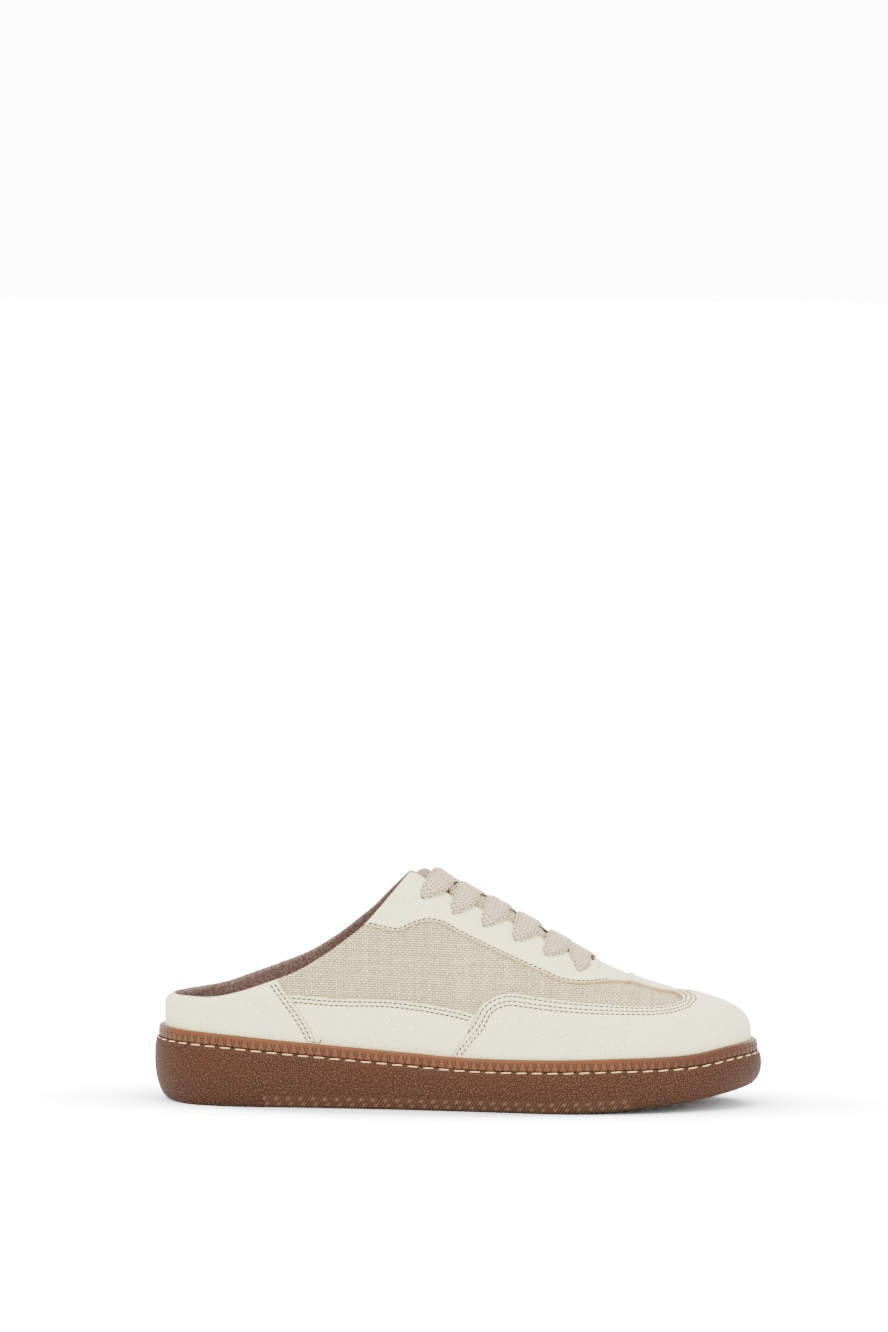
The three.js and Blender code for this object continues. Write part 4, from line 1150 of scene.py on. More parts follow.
class Palette:
    """Builds each finish once and hands it out by name."""

    def __init__(self) -> None:
        """Builds the shared groups and all materials."""
        self.groups = {"speckle": speckle_group(), "weave": weave_group(), "wall": wall_group()}
        self.materials = {key: self.build(finish) for key, finish in FINISHES.items()}

    def build(self, finish: Finish) -> bpy.types.Material:
        """Material of a finish.

        Args:
            finish: its colours and pattern.

        Returns:
            The material.
        """
        material = bpy.data.materials.new(finish.name)
        material.use_nodes = True
        tree = material.node_tree
        shader = tree.nodes["Principled BSDF"]
        n = Nodes(tree)
        shader.inputs["Sheen Weight"].default_value = finish.sheen
        shader.inputs["Sheen Roughness"].default_value = 0.5
        shader.inputs["Roughness"].default_value = finish.roughness
        shader.inputs["Specular IOR Level"].default_value = finish.gloss
        patterns = {
            "speckle": self.speckle, "weave": self.weave, "pile": self.pile, "pebble": self.pebble,
            "ribs": self.ribs, "braid": self.braid, "plain": self.plain,
        }
        shade, height = patterns[finish.pattern](n, finish)
        n.link(shade, shader.inputs["Base Color"])
        bump = n.add("Bump", Strength=finish.bump, Distance=0.0006)
        n.link(height, bump.inputs["Height"])
        n.link(bump.outputs[0], shader.inputs["Normal"])
        return material

    def speckle(self, n: Nodes, finish: Finish) -> tuple:
        """Nubuck: dark specks on a faint cloud; where the mark rim is, the bare edge's browner colour
        by the cut edges and painted shade along the pressed stitched rows.
        """
        group = n.add("Group", node_tree=self.groups["speckle"])
        group.inputs["Speck Scale"].default_value = 1100.0
        group.inputs["Speck Share"].default_value = 0.33
        base = n.mix(n.ramp(group.outputs["Cloud"], (0.35, 0.0), (0.65, 0.35)), finish.main(),
                     finish.main(0.95))
        shade = n.mix(n.math("MULTIPLY", group.outputs["Speck"], 0.75), base, finish.dark())
        # The rim colour is the bare edge's own colour by the cut edges, and painted shade along the
        # pressed stitched rows.
        return n.mix(n.mark("rim"), shade, srgb(176, 148, 110)), n.noise(2600.0, 3.0)

    def weave(self, n: Nodes, finish: Finish) -> tuple:
        """Linen: pale threads, each with its own tone, with painted shade in the gaps and on the
        sunken threads.
        """
        group = n.add("Group", node_tree=self.groups["weave"])
        pale = n.mix(group.outputs["Tone"], finish.main(0.80), finish.main())
        dark = n.mix(group.outputs["Tone"], finish.dark(), srgb(134, 112, 76))
        # Painted shade: the colour darkens where the weave is low, in its gaps and on the threads
        # that pass under.
        shade = n.mix(n.ramp(group.outputs["Height"], (0.14, 0.0), (0.56, 1.0)), dark, pale)
        return shade, group.outputs["Height"]

    def pile(self, n: Nodes, finish: Finish) -> tuple:
        """Terry: small tufts in soft clumps."""
        tufts, clumps = n.noise(1900.0, 3.0, Roughness=0.6), n.noise(700.0, 2.0)
        mask = n.math("ADD", n.math("MULTIPLY", tufts, 0.75), n.math("MULTIPLY", clumps, 0.25))
        return n.mix(n.ramp(mask, (0.38, 0.0), (0.60, 1.0)), finish.dark(), finish.main()), mask

    def pebble(self, n: Nodes, finish: Finish) -> tuple:
        """Gum wall: painted highlight on the raised pebbles and ribs over dark rubber, warmer higher
        up.
        """
        group = n.add("Group", node_tree=self.groups["wall"])
        shade = n.mix(group.outputs["Light"], finish.main(), finish.dark())
        return n.mix(group.outputs["Warm"], shade, srgb(66, 33, 16)), group.outputs["Height"]

    def ribs(self, n: Nodes, finish: Finish) -> tuple:
        """Gum band: painted highlight on the teeth, painted shade in the grooves and towards the toe,
        and a warm smooth rim.
        """
        rib, noise = n.mark("rib"), n.noise(120.0, 3.0)
        place = n.add("TexCoord").outputs["Object"]
        # Painted highlight on the teeth's faces and painted shade in the grooves, both read from the
        # tooth height in the mark rib.
        face = n.mix(n.ramp(rib, (0.5, 0.0), (1.0, 1.0)), finish.main(), srgb(88, 54, 33))
        shade = n.mix(n.ramp(rib, (0.0, 1.0), (0.35, 0.0)), face, finish.dark())
        shade = n.mix(n.mark("rim"), shade, srgb(88, 48, 21))
        shade = n.mix(n.ramp(noise, (0.4, 0.0), (0.8, 0.25)), shade, finish.dark())
        # Painted shade: the band darkens towards the toe.
        ahead = n.math("MULTIPLY", n.add("SeparateXYZ", Vector=place).outputs[0], 5.0)
        return n.mix(n.ramp(ahead, (0.38, 0.0), (0.58, 0.8)), shade, srgb(60, 32, 15)), noise

    def braid(self, n: Nodes, finish: Finish) -> tuple:
        """Lace: pale yarns with painted shade between them, and fine fibres."""
        yarn, fibre = n.mark("yarn"), n.noise(1800.0, 4.0)
        mark = n.math("ADD", yarn, n.math("MULTIPLY", fibre, 0.5))
        height = n.math("ADD", n.math("MULTIPLY", fibre, 0.8), n.math("MULTIPLY", yarn, 0.4))
        # Painted shade: darker where the yarns and fibres are low.
        return n.mix(n.ramp(mark, (0.26, 1.0), (0.74, 0.0)), finish.main(), finish.dark()), height

    def plain(self, n: Nodes, finish: Finish) -> tuple:
        """Thread: one colour with soft darker stretches."""
        noise = n.noise(300.0, 3.0)
        return n.mix(n.ramp(noise, (0.4, 0.0), (0.75, 0.4)), finish.main(), finish.dark()), noise


class Workshop:
    """Turns arrays into Blender objects that ride on the shoe."""

    def __init__(self, centre: Array, palette: Palette) -> None:
        """Keeps the frame's centre and the materials."""
        self.shift = np.array([centre[0], centre[1], 0.0])
        self.palette = palette

    def piece(self, name: str, points: Array, faces: Array, finishes: tuple[str, ...],
              face_finish: Array | None = None, uv: Array | None = None,
              nodes: tuple[str, ...] = (),
              marks: dict[str, Array] | None = None) -> bpy.types.Object:
        """Makes one object, puts it on the shoe and lets it take the place of CAD nodes.

        Args:
            name: name of the piece.
            points: vertices in millimetres.
            faces: triangles or quads as rows of vertex numbers.
            finishes: names of its finishes, one material slot each.
            face_finish: index of the finish of each face.
            uv: texture coordinates in millimetres, one row for each vertex.
            nodes: CAD nodes that it replaces.
            marks: named numbers of each vertex that materials read.

        Returns:
            The object.
        """
        mesh = bpy.data.meshes.new(name)
        corners = faces.shape[1]
        mesh.vertices.add(len(points))
        mesh.vertices.foreach_set("co", ((points - self.shift) * MM).astype(np.float32).ravel())
        mesh.loops.add(faces.size)
        mesh.loops.foreach_set("vertex_index", faces.astype(np.int32).ravel())
        mesh.polygons.add(len(faces))
        mesh.polygons.foreach_set("loop_start", np.arange(0, faces.size, corners, dtype=np.int32))
        mesh.polygons.foreach_set("use_smooth", np.full(len(faces), True))
        if face_finish is not None:
            mesh.polygons.foreach_set("material_index", face_finish.astype(np.int32))
        if uv is not None:
            layer = mesh.uv_layers.new(name="cloth")
            layer.uv.foreach_set("vector", uv[faces.ravel()].astype(np.float32).ravel())
        for mark, values in (marks or {}).items():
            layer = mesh.attributes.new(mark, "FLOAT", "POINT")
            layer.data.foreach_set("value", values.astype(np.float32))
        mesh.update(calc_edges=True)
        mesh.validate()
        for finish in finishes:
            mesh.materials.append(self.palette.materials[finish])
        shape = bpy.data.objects.new(name, mesh)
        bpy.context.scene.collection.objects.link(shape)
        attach(shape, "root")
        if nodes:
            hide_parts(*nodes)
        LOG.info("%s: %d faces", name, len(faces))
        return shape


def stitch_run(path: Array, up: Array, along: Array, pitch: float, length: float,
               radius: float, slant: float = 0.0) -> tuple[Array, Array]:
    """Short threads laid along a line, each a bent capsule that dips at both ends.

    A ring of six points is carried along each stitch; its radius follows a half circle's
    fourth root, and its centre sinks by twice the radius at the ends.

    Args:
        path: points of the line.
        up: outward normals there.
        along: directions there.
        pitch: distance between stitches.
        length: length of each thread.
        radius: half its thickness.
        slant: turn of each stitch out of the line, in radians.

    Returns:
        Points and quad faces of all stitches.
    """
    run = run_along(path)
    middles = np.arange(pitch / 2, run[-1] - pitch / 4, pitch)
    s = np.linspace(-1, 1, 7)
    at = middles[:, None] + s * length / 2 * math.cos(slant)
    rows = np.hstack([path, up, along])
    seen = np.stack([np.interp(at, run, column) for column in rows.T], axis=-1)
    centre, normal = seen[..., :3], unit(seen[..., 3:6])
    side = unit(np.cross(normal, unit(seen[..., 6:])))
    centre = centre + side * (s * length / 2 * math.sin(slant))[None, :, None]
    swell = np.maximum(1 - s**6, 0.0) ** 0.5
    centre = centre + normal * (radius * (0.35 - 1.6 * s**4))[None, :, None]
    turn = np.arange(6) * np.pi / 3
    ring = (side[:, :, None] * np.cos(turn)[:, None] + normal[:, :, None] * np.sin(turn)[:, None])
    points = centre[:, :, None] + ring * (radius * (0.15 + 0.85 * swell))[None, :, None, None]
    count, rings = len(middles), len(s)
    grid = np.arange(count * rings * 6).reshape(count, rings, 6)
    a, b = grid[:, :-1], grid[:, 1:]
    faces = np.stack([a, np.roll(a, -1, axis=2), np.roll(b, -1, axis=2), b], axis=-1)
    return points.reshape(-1, 3), faces.reshape(-1, 4)


def merged(parts: list[tuple[Array, Array]]) -> tuple[Array, Array]:
    """Points and faces of several meshes as one."""
    starts = np.cumsum([0] + [len(points) for points, _ in parts[:-1]])
    return (np.concatenate([points for points, _ in parts]),
            np.concatenate([faces + start for (_, faces), start in zip(parts, starts)]))


@dataclass
class Upper:
    """Linen and lining shell with the leather pieces sewn on it."""

    skin: Skin
    shop: Workshop
    guard_height: float = 1.8
    panel_height: float = 1.0
    stay_height: float = 1.4
    shoulder_reach: float = 0.8
    shoulder_drop: float = 0.5
    press_width: float = 0.42
    press_depth: float = 0.28
    overlay_base: float = 0.05
    cut_step: float = 0.6
    stitch_pitch: float = 2.35
    stitch_length: float = 2.15
    stitch_radius: float = 0.31
    stitch_slant: float = 0.16
    hole_radius: float = 1.7
    seam_x: float = 78.6
    tongue_back: float = 1.5
    fibres: int = 22000
    fibre_reach: float = 16.0

    def rim_radius(self, point: Array) -> Array:
        """Half the thickness of the wall at its rim: soft and thick at the heel."""
        return 1.0 + 1.3 * smoothstep(-20.0, -95.0, point[:, 0])

    def rim_sink(self, away: Array, radius: Array) -> Array:
        """Depth under the face of a quarter-round rim, at distances below the collar line."""
        reach = np.clip(radius - away, 0, radius)
        return radius - np.sqrt(np.maximum(radius**2 - reach**2, 0))

    def holes(self, patch: Patch) -> Array:
        """Distance of each vertex from the rim of the nearest lace hole."""
        centres = self.skin.lace_holes()
        far = np.linalg.norm(patch["point"][:, None] - centres[None], axis=2).min(axis=1)
        return far - self.hole_radius

    def around_opening(self) -> Patch:
        """The grid below the collar line and outside the throat."""
        patch = self.skin.patch.clip(self.skin.patch["collar"])
        return patch.clip(patch["throat"])

    def shell(self) -> None:
        """The linen outside, the rolled rim and the terry inside, as one closed skin."""
        patch = self.around_opening()
        patch = patch.clip(self.holes(patch))
        patch = patch.split_at("collar", 0.3, 0.8, 1.5)
        radius = self.rim_radius(patch["point"])
        sink = self.rim_sink(patch["collar"], radius)
        top = patch["point"] - patch["normal"] * sink[:, None]
        bottom = patch["point"] - patch["normal"] * (2 * radius - sink)[:, None]
        shell, points = close_shell(patch, top, bottom)
        terry = np.zeros(len(shell.faces))
        terry[len(patch.faces):] = 1
        uv = np.stack([shell["u"], 0.3 * shell["v"] + 0.75 * points[:, 2]], axis=1)
        self.shop.piece("upper_shell", points, shell.faces, ("linen", "terry"), terry, uv,
                        nodes=("upper",))

    def overlay(self, name: str, patch: Patch, edge: Array, height: float | Array,
                rows: tuple[float, ...], node: str, raw: bool = False) -> None:
        """A leather piece on the upper, with a soft shoulder and its stitched rows pressed in.

        Args:
            name: name of the piece.
            patch: the part of the grid that it covers.
            edge: distance of each vertex from its cut edge.
            height: height of its face above the bare upper.
            rows: distances of its stitched rows from the edge.
            node: CAD node that it replaces.
            raw: whether the cut edge shows the pale raw leather.
        """
        patch.columns["edge"] = edge
        patch.columns["height"] = np.broadcast_to(np.asarray(height, float), edge.shape).copy()
        levels = [0.3, self.shoulder_reach]
        for row in rows:
            levels += [row - self.cut_step, row, row + self.cut_step]
        patch = patch.split_at("edge", *[level for level in levels if level > 0.1])
        away, radius = patch["edge"], self.rim_radius(patch["point"]) + patch["height"]
        shoulder = self.shoulder_drop * (1 - np.clip(away / self.shoulder_reach, 0, 1)) ** 2
        closer = self.row_shift(name, patch["point"])
        press = sum(np.exp(-(((away - row + closer) / self.press_width) ** 2)) for row in rows)
        press = press * (patch["collar"] > 1.5)
        # Colour mark: painted shade along the pressed stitched rows, and the bare edge's browner
        # colour next to the cut edge.
        mark = 0.3 * press + 0.9 * (1 - smoothstep(0.25, 0.95, away))
        lift = patch["height"] - shoulder - self.press_depth * press
        roll = radius - np.sqrt(np.maximum(
            radius**2 - np.clip(radius - patch["collar"], 0, radius) ** 2, 0))
        lift = lift - np.minimum(roll, radius - 0.2)
        top = patch["point"] + patch["normal"] * lift[:, None]
        patch.columns["mark"] = mark
        base = np.minimum(self.overlay_base, lift - 0.3)
        bottom = patch["point"] + patch["normal"] * base[:, None]
        shell, points = close_shell(patch, top, bottom)
        finish = np.zeros(len(shell.faces))
        finish[2 * len(patch.faces):] = 1
        self.shop.piece(name, points, shell.faces, ("nubuck", "raw_edge" if raw else "cut_edge"),
                        finish, nodes=(node,), marks={"rim": shell["mark"]})

    def row_shift(self, name: str, points: Array) -> Array:
        """How much closer to the cut edge a piece's outer rows run, at points of the piece.

        The toe piece has two rows on its upright rear part and three round the window.
        """
        upright = 1 - smoothstep(5.0, 13.0, points[:, 0])
        return upright * (2.4 if name.startswith("toe_guard") else 0.0)

    def counter(self) -> None:
        """Low band round the open heel."""
        patch = self.skin.patch.clip(self.skin.patch["collar"])
        patch = patch.clip(patch["counter"])
        self.overlay("heel_counter_skin", patch, patch["counter"], self.guard_height,
                     STITCH_ROWS["counter"], "heel_counter")

    def panels(self) -> None:
        """Low panels along both sides, tucked under counter and toe guard."""
        for side, word in ((OUTER, "lateral"), (INNER, "medial")):
            patch = self.skin.patch.clip(self.skin.patch["panel"])
            patch = patch.clip(2.5 - patch["counter"])
            patch = patch.clip(4.0 - patch["guard"])
            patch = patch.clip(patch["side"] * side)
            self.overlay(f"side_panel_skin_{word}", patch, patch["panel"], self.panel_height,
                         STITCH_ROWS["panel"], f"side_panel_{word}")

    def guard(self) -> None:
        """T-shaped toe piece: round the toe and up the middle to the seam strip."""
        patch = self.skin.patch.clip(self.skin.patch["guard"])
        ahead = patch["point"][:, 0] - (self.seam_x + 0.9)
        patch = patch.clip(np.where(self.from_ridge(patch) < 32.0, ahead, 9.0))
        self.overlay("toe_guard_skin", patch, patch["guard"], self.guard_height,
                     STITCH_ROWS["guard"], "toe_guard", raw=True)

    def from_ridge(self, patch: Patch) -> Array:
        """Distance across the shoe from the ridge of the last."""
        last, (x, y, z) = self.skin.last, patch["point"].T
        middle = last.ball * RIDGE.read("across", x / last.length)
        return np.where(z < 47.0, 99.0, np.abs(y - middle))

    def eyestay(self) -> None:
        """Lace facing round the throat, down to the seam strip over the toes."""
        patch = self.around_opening()
        patch = patch.clip(patch["stay"])
        patch = patch.clip(self.seam_x + 0.6 - patch["point"][:, 0])
        patch = patch.clip(self.holes(patch))
        patch.columns["hole"] = self.holes(patch)
        edge = np.minimum(patch["stay"], patch["throat"])
        dip = 0.25 * np.exp(-((patch["hole"] / 1.6) ** 2))
        self.overlay("eyestay_skin", patch, edge, self.stay_height - dip, STITCH_ROWS["stay"],
                     "eyestay", raw=True)

    def stitches(self) -> None:
        """Every stitched row of the leather pieces."""
        plan = (("counter", 1, self.guard_height), ("panel", 1, self.panel_height),
                ("guard", 1, self.guard_height), ("stay", -1, self.stay_height))
        parts = []
        for name, sign, height in plan:
            for side in (OUTER, INNER):
                for inward in STITCH_ROWS[name]:
                    place = self.skin.edges[name, side]
                    closer = 0.0
                    if name == "guard":
                        closer = self.row_shift("toe_guard", self.skin.path(place)[0])
                    path, up, along = self.skin.rail(place, (inward - closer) * side * sign)
                    keep = self.visible(name, path, inward)
                    if name == "guard" and inward < 2.0:
                        keep &= path[:, 0] > 9.0
                    path, up, along = path[keep], up[keep], along[keep]
                    if len(path) < 8:
                        continue
                    path = path + up * (height - 0.2)
                    parts.append(stitch_run(path, up, along, self.stitch_pitch,
                                            self.stitch_length, self.stitch_radius,
                                            self.stitch_slant))
        points, faces = merged(parts)
        self.shop.piece("upper_stitches", points, faces, ("thread",))

    def visible(self, name: str, path: Array, inward: float) -> Array:
        """Samples of a stitched row that lie in the open, on their own piece."""
        last = self.skin.last
        x, z = path[:, 0], path[:, 2]
        keep = z > last.band_top(x) + 0.5
        keep &= z < last.collar(x, np.sign(path[:, 1] - self.skin.MIDDLE_Y)) - 1.2
        if name == "panel":
            counter = np.interp(z, (COUNTER_EDGE.columns["rise"] * last.instep)[::-1],
                                (COUNTER_EDGE.along * last.length)[::-1])
            upright = slice(0, 8)
            guard = np.interp(z, GUARD_EDGE.columns["rise"][upright] * last.instep,
                              GUARD_EDGE.along[upright] * last.length)
            keep &= (x > counter + 0.8) & (x < guard - 0.8)
        if name == "guard":
            keep &= (x < self.seam_x + 36) | (z < 60)
            near = np.abs(path[:, 1] - last.ball * RIDGE.read("across", x / last.length)) < 30
            strip = (np.arange(len(x)) > len(x) * 0.8) & near
            limit = 104.0 if inward > 3 else 99.0
            keep &= ~(strip & (x < limit))
        if name == "stay":
            keep &= x < self.seam_x - 8
        return keep

    def seam_strip(self) -> None:
        """Folded strip across the ridge between lace facing and toe piece."""
        last = self.skin.last
        y = np.linspace(-27.5, 29.5, 90)
        x = np.full(len(y), self.seam_x)
        place = self.skin.locate_above(np.stack([x, y + last.ball * 0.078 - 1.0], axis=1))
        centre, up = self.skin.path(place)
        low = centre[:, 2] > 56.2
        centre, up = centre[low], up[low]
        along = unit(np.gradient(centre, axis=0))
        side = unit(np.cross(along, up))
        turn = np.linspace(-0.35, np.pi + 0.35, 12)
        profile = np.stack([1.45 * np.cos(turn), 1.5 + 0.75 * np.sin(turn)], axis=1)
        profile = np.vstack([[1.5, 0.2], profile, [-1.5, 0.2]])
        ends = np.minimum(np.arange(len(centre)), np.arange(len(centre))[::-1])
        slim = np.clip(ends / 3.0, 0.02, 1.0)[:, None, None]
        points = (centre[:, None] + side[:, None] * profile[None, :, :1] * slim
                  + up[:, None] * profile[None, :, 1:] * slim)
        faces = sleeve_faces(*points.shape[:2])
        points = points.reshape(-1, 3)
        self.shop.piece("seam_strip", points, faces, ("nubuck",),
                        marks={"rim": np.full(len(points), 0.25)})

    def tongue(self) -> None:
        """Padded tongue under the laces, covered in the lining's terry."""
        skin, last = self.skin, self.skin.last
        places = skin.plan_places(TONGUE, 24.0, last.throat_front + 14)
        path, up = skin.path(places)
        patch = skin.patch
        inside, _ = nearest_on_path(patch["point"], path, up)
        patch = patch.clip(np.where(patch["point"][:, 2] < 40.0, -9.0, inside))
        patch.columns["back"] = (last.collar(patch["point"][:, 0] - self.tongue_back, OUTER)
                                 - patch["point"][:, 2])
        patch = patch.clip(patch["back"])
        away = np.maximum(patch["back"] * 0.6, 0)
        sink = 1.3 * (1 - np.clip(away / 1.3, 0, 1)) ** 2
        puff = 0.7 * smoothstep(0.0, 6.0, away)
        puff = puff + 2.0 * smoothstep(0.3, 3.0, -patch["throat"]) * smoothstep(0.0, 4.0, away)
        top = patch["point"] - patch["normal"] * (2.9 + sink - puff)[:, None]
        bottom = patch["point"] - patch["normal"] * (5.4 - sink)[:, None]
        shell, points = close_shell(patch, top, bottom)
        self.shop.piece("tongue_pad", points, shell.faces, ("tongue",), nodes=("tongue",))

    def bar_tack(self) -> None:
        """Close zigzag stitches that lock the front end of the throat."""
        skin = self.skin
        place = skin.locate_above(np.array([[65.0, y] for y in np.linspace(-6.5, 11.0, 14)]))
        path, up = skin.path(place)
        along = unit(np.gradient(path, axis=0))
        points, faces = stitch_run(path + up * self.stay_height, up, along, 0.8, 2.2, 0.16, 1.45)
        self.shop.piece("bar_tack", points, faces, ("raw_edge",))

    def pile(self) -> None:
        """Short fibres that stand out of the lining below the collar, each one thin triangle."""
        patch = self.around_opening()
        patch = patch.clip(self.fibre_reach - patch["collar"])
        corners = patch["point"][patch.faces]
        area = np.linalg.norm(np.cross(corners[:, 1] - corners[:, 0],
                                       corners[:, 2] - corners[:, 0]), axis=1)
        rng = np.random.default_rng(7)
        pick = rng.choice(len(area), self.fibres, p=area / area.sum())
        share = rng.dirichlet((1.0, 1.0, 1.0), self.fibres)
        point, normal, away = (
            np.einsum("nc...,nc->n...", patch[name][patch.faces[pick]], share)
            for name in ("point", "normal", "collar")
        )
        normal = unit(normal)
        radius = self.rim_radius(point)
        depth = 2 * radius - self.rim_sink(away, radius)
        root = point - normal * (depth - 0.1)[:, None]
        lean = unit(rng.normal(size=(self.fibres, 3)))
        upward = np.array([0.0, 0.0, 1.0]) * np.where(away < 3.0, 0.7, 0.2)[:, None]
        grow = unit(-normal + 0.7 * lean + upward)
        wide = unit(np.cross(grow, lean)) * 0.11
        length = rng.uniform(0.5, 1.3, self.fibres)[:, None]
        points = np.stack([root - wide, root + wide, root + grow * length], axis=1)
        faces = np.arange(3 * self.fibres).reshape(-1, 3)
        self.shop.piece("lining_fibres", points.reshape(-1, 3), faces, ("terry",))

    def build(self) -> None:
        """Makes all pieces of the upper."""
        self.shell()
        self.pile()
        self.counter()
        self.panels()
        self.guard()
        self.eyestay()
        self.seam_strip()
        self.tongue()
        self.stitches()
        self.bar_tack()


@dataclass
class Sole:
    """Moulded cup sole: pebbled wall, stitched groove, ribbed band, rim, floor and tread."""

    last: Last
    shop: Workshop
    band: float = 5.4
    rib_pitch: float = 3.8
    rib_height: float = 3.9
    rib_depth: float = 0.45
    stitch_pitch: float = 7.3
    stitch_length: float = 5.9
    stitch_radius: float = 0.33
    stitch_slant: float = 0.04
    columns: int = 1500
    insole_columns: int = 400

    def ring_faces(self, count: int, rings: int) -> Array:
        """Quads between closed rings of points, lowest ring first."""
        return np.roll(sleeve_faces(rings, count)[:, ::-1], 1, axis=1)

    def ring_points(self, share: Array, rings: list[tuple]) -> tuple[Array, Array]:
        """Points of rings given as (inset, height) arrays, and texture coordinates.

        Args:
            share: shares of the way around, the same for all rings.
            rings: insets from the widest line and heights.

        Returns:
            Points, and texture coordinates of length around and height above the underside.
        """
        edge, normal = self.last.around(share)
        under = self.last.underside(edge[:, 0])
        step = np.linalg.norm(np.diff(self.last.outline, axis=0), axis=1).mean()
        around = share * len(self.last.outline) * step
        points, uv = [], []
        for inset, height in rings:
            spot = edge - normal * np.asarray(inset).reshape(-1, 1)
            height = np.broadcast_to(height, share.shape)
            points.append(np.column_stack([spot, height]))
            uv.append(np.column_stack([around, height - under]))
        return np.concatenate(points), np.concatenate(uv)

    def wall(self) -> None:
        """The wall under the groove, with small raised pebbles and the tread's scalloped edge."""
        share = np.arange(self.columns) / self.columns
        edge, _ = self.last.around(share)
        x = edge[:, 0]
        under, top = self.last.underside(x), self.last.band_top(x)
        shoulder = top - self.band - 1.4
        t = np.linspace(0, 1, 22)
        rings = [(6.0, under), (5.2, under + 0.1)]
        for share_up in t[1:-1]:
            bulge = 4.6 * (1 - share_up) ** 3.6 + 0.75 * share_up**5
            lift = under + 0.1 + (shoulder - 0.6 - under) * share_up
            rings.append((bulge, lift))
        rings += [(0.95, shoulder + 0.1), (1.25, shoulder + 0.5), (1.6, shoulder + 0.75),
                  (1.85, shoulder + 0.95), (2.0, shoulder + 1.35)]
        points, uv = self.ring_points(share, rings)
        faces = self.ring_faces(self.columns, len(rings))
        self.shop.piece("sole_wall", points, faces, ("gum_wall",), uv=uv, nodes=("sole",))

    def rib_line(self) -> tuple[Array, Array, Array]:
        """Columns of the zigzag ribs: place in a rib at its foot and its head, and height.

        Foot-wide and head-wide teeth take turns, parted by narrow grooves.
        """
        foot = np.array([0.02, 0.07, 0.12, 0.50, 0.88, 0.93, 0.98, 0.99, 1.01])
        head = np.array([0.30, 0.34, 0.38, 0.50, 0.62, 0.66, 0.70, 0.85, 1.15])
        high = np.array([0.00, 0.75, 1.00, 1.00, 1.00, 0.75, 0.00, 0.80, 0.80])
        return foot, head, high

    def band_ring(self) -> None:
        """The ribbed band with its smooth rim, down into the cup to the floor."""
        length = np.linalg.norm(np.diff(self.last.outline, axis=0), axis=1).sum()
        ribs = int(round(length / self.rib_pitch))
        foot, head, high = self.rib_line()
        cell = np.arange(ribs)[:, None]
        foot, head = (cell + foot).ravel() / ribs, (cell + head).ravel() / ribs
        high = np.tile(high, ribs)
        points, ribs_seen, rim_seen = [], [], []
        rows = ((0.0, 0.20, 0.0), (0.05, 0.05, 0.3), (0.12, 0.0, 1.0), (0.30, 0.0, 1.0),
                (0.50, 0.0, 1.0), (0.70, 0.02, 1.0), (0.86, 0.06, 0.9), (0.95, 0.02, 0.3),
                (1.0, -0.08, 0.0))
        for t, inset, relief in rows:
            share = foot * (1 - t) + head * t
            edge, _ = self.last.around(share)
            top = self.last.band_top(edge[:, 0])
            height = top - self.band + t * self.rib_height
            sunk = 2.0 + inset + self.rib_depth * (1 - relief * high)
            points.append(self.ring_points(share, [(sunk, height)])[0])
            ribs_seen.append(high)
            rim_seen.append(np.full(len(share), float(smoothstep(0.86, 1.0, np.array(t)))))
        edge, _ = self.last.around(head)
        top, floor = self.last.band_top(edge[:, 0]), self.last.platform(edge[:, 0])
        rim = [(2.3, top - 1.1), (2.65, top - 0.5), (3.1, top - 0.15), (3.6, top), (4.6, top),
               (5.0, top - 0.15), (5.2, top - 0.6), (6.0, floor + 1.0), (7.0, floor),
               (26.0, floor)]
        points.append(self.ring_points(head, rim)[0])
        ribs_seen.append(np.full(len(points[-1]), 0.6))
        rim_seen.append(np.ones(len(points[-1])))
        faces = self.ring_faces(len(head), len(rows) + len(rim))
        # The mark rib is each tooth's height; the band's material paints highlight on the teeth and
        # shade in the grooves from it.
        self.shop.piece("sole_band", np.concatenate(points), faces, ("gum_band",),
                        marks={"rib": np.concatenate(ribs_seen), "rim": np.concatenate(rim_seen)})

    def stitches(self) -> None:
        """Long pale stitches in the groove, each pressed into the wall's shoulder."""
        share = np.linspace(0, 1, 2400)
        edge, normal = self.last.around(share)
        top = self.last.band_top(edge[:, 0])
        path = np.column_stack([edge - normal * 1.75, top - self.band - 0.55])
        up = np.column_stack([normal, np.full(len(share), 0.25)])
        along = unit(np.gradient(path, axis=0))
        points, faces = stitch_run(path, unit(up), along, self.stitch_pitch, self.stitch_length,
                                   self.stitch_radius, self.stitch_slant)
        self.shop.piece("sole_stitches", points, faces, ("pale_thread",))

